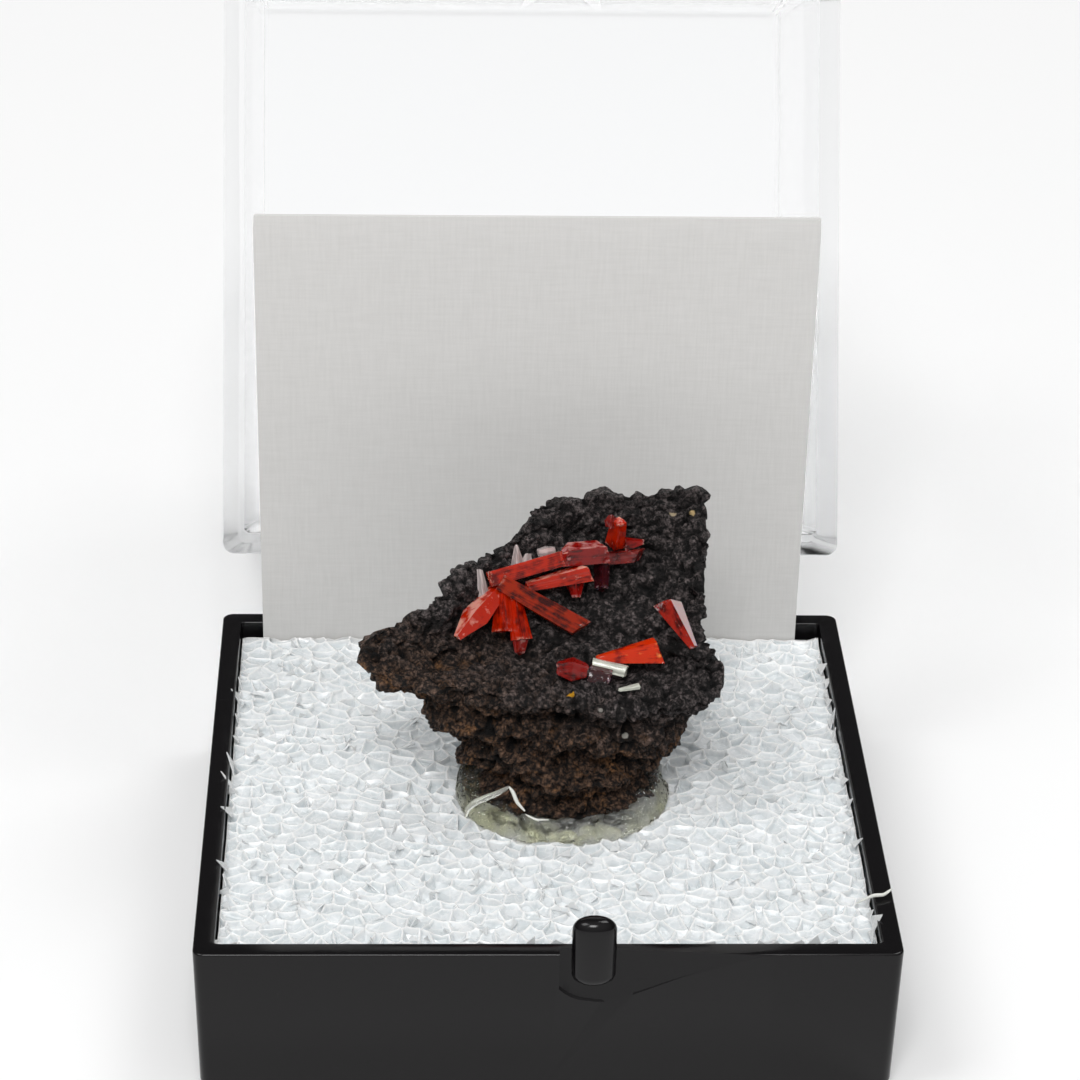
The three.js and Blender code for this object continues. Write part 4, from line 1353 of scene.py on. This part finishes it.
def paint(piece, plans, skins):
    """Gives each face of joined crystals its crystal's own coordinates and the tone of its side, which
    paints light and shade by the way the side faces.
    """
    mesh = piece.data
    grain = np.zeros((len(mesh.loops), 3))
    end = np.zeros(len(mesh.loops))
    tone = np.zeros(len(mesh.polygons))
    for face in mesh.polygons:
        which = min(range(len(plans)), key=lambda n: skins[n].find_nearest(face.center)[3])
        start, length, *frame_axes = crystal_frame(plans[which])
        axes = np.array(frame_axes)
        facing = axes @ np.array(face.normal)
        side_tone_and_sheen = plans[which].side_tone_and_sheen
        # Painted light and shade: the tone follows which way the face turns, and end faces, turned along
        # the crystal, are painted paler.
        tone[face.index] = side_tone_and_sheen[0 if facing[1] < 0 else 1] - (0.3 if abs(facing[0]) > 0.7 else 0)
        for loop in face.loop_indices:
            place = axes @ (np.array(mesh.vertices[mesh.loops[loop].vertex_index].co) / MM - start)
            grain[loop] = place + 5.3 * which
            end[loop] = min(place[0], length - place[0])
    for name, kind, domain, key, values in (
        ("grain", "FLOAT_VECTOR", "CORNER", "vector", grain),
        ("end", "FLOAT", "CORNER", "value", end),
        ("tone", "FLOAT", "FACE", "value", tone),
    ):
        mesh.attributes.new(name, kind, domain).data.foreach_set(key, values.astype(np.float32).ravel())


def make_crystals():
    looks = crystal_looks()
    graph = bpy.context.evaluated_depsgraph_get()
    seed = 60
    for name, (plans, slot) in CRYSTALS.items():
        piece, skins = None, []
        for plan in plans:
            seed += 1
            made = crystal(name if piece is None else "grown", plan, seed, looks[plan.look])
            graph.update()
            skins.append(BVHTree.FromObject(made, graph))
            if piece is None:
                piece = made
            else:
                combine(piece, made, "UNION")
        paint(piece, plans, skins)
        finish_piece(piece, name, angle=12)


# ---- room, lights and camera ----


def make_floor():
    half = 2000
    corners = [(-half, -half, 0), (half, -half, 0), (half, half, 0), (-half, half, 0)]
    floor = mesh_object("floor", corners, [(0, 1, 2, 3)])
    floor.data.materials.append(Look("pale_floor", Base_Color=(0.9, 0.9, 0.9, 1), Roughness=0.6).material)


def area_light(name, place, size, power):
    """A square lamp that looks at the specimen."""
    specimen = Vector((0, 0, 12))
    data = bpy.data.lights.new(name, "AREA")
    data.shape = "RECTANGLE"
    data.size = data.size_y = size * MM
    data.energy = power
    light = bpy.data.objects.new(name, data)
    light.location = Vector(place) * MM
    light.rotation_mode = "QUATERNION"
    light.rotation_quaternion = (specimen - Vector(place)).to_track_quat("-Z", "Y")
    bpy.context.scene.collection.objects.link(light)


def make_world():
    """A soft studio: a wide bright sky in front and above, dim behind."""
    world = bpy.data.worlds.new("studio")
    world.use_nodes = True
    tree = world.node_tree
    place = tree.nodes.new("ShaderNodeTexCoord")
    toward = tree.nodes.new("ShaderNodeVectorMath")
    toward.operation = "DOT_PRODUCT"
    toward.inputs[1].default_value = (0, -0.6, 0.8)
    rise = tree.nodes.new("ShaderNodeMapRange")
    rise.interpolation_type = "SMOOTHSTEP"
    for socket, value in (("From Min", 0.1), ("From Max", 1.0), ("To Min", 0.1), ("To Max", 0.6)):
        rise.inputs[socket].default_value = value
    tree.links.new(place.outputs["Generated"], toward.inputs[0])
    tree.links.new(toward.outputs["Value"], rise.inputs["Value"])
    tree.links.new(rise.outputs["Result"], tree.nodes["Background"].inputs["Strength"])
    tree.nodes["Background"].inputs["Color"].default_value = (1, 1, 1, 1)
    bpy.context.scene.world = world


def make_light():
    make_world()
    area_light("left", (-520, -150, 950), 420, 3.0)
    area_light("right", (450, 420, 950), 420, 2.6)
    area_light("front", (-100, -800, 1150), 500, 10.5)
    bpy.context.scene.view_settings.view_transform = "Standard"


def make_camera():
    """The photograph's own viewpoint, fitted to the tray's rim: it looks down from in front."""
    azimuth, elevation, roll = (math.radians(v) for v in (-2.247, 27.365, 1.218))
    target = Vector((-0.198, 0, 12.541 + HEIGHT))
    distance = 177.033
    level = math.cos(elevation)
    back = Vector((math.sin(azimuth) * level, -math.cos(azimuth) * level, math.sin(elevation)))
    data = bpy.data.cameras.new("camera")
    data.sensor_width = 36
    data.lens = 126.507
    data.clip_start, data.clip_end = 0.01, 20
    camera = bpy.data.objects.new("camera", data)
    camera.location = (target + back * distance) * MM
    camera.rotation_mode = "QUATERNION"
    turn = Matrix.Rotation(roll, 3, "Z").to_quaternion()
    camera.rotation_quaternion = (-back).to_track_quat("-Z", "Y") @ turn
    bpy.context.scene.collection.objects.link(camera)
    bpy.context.scene.camera = camera


make_camera()
make_floor()
make_light()
make_tray()
make_lid()
make_foam()
make_card()
make_glue()
make_strands()
make_rock()
make_crystals()
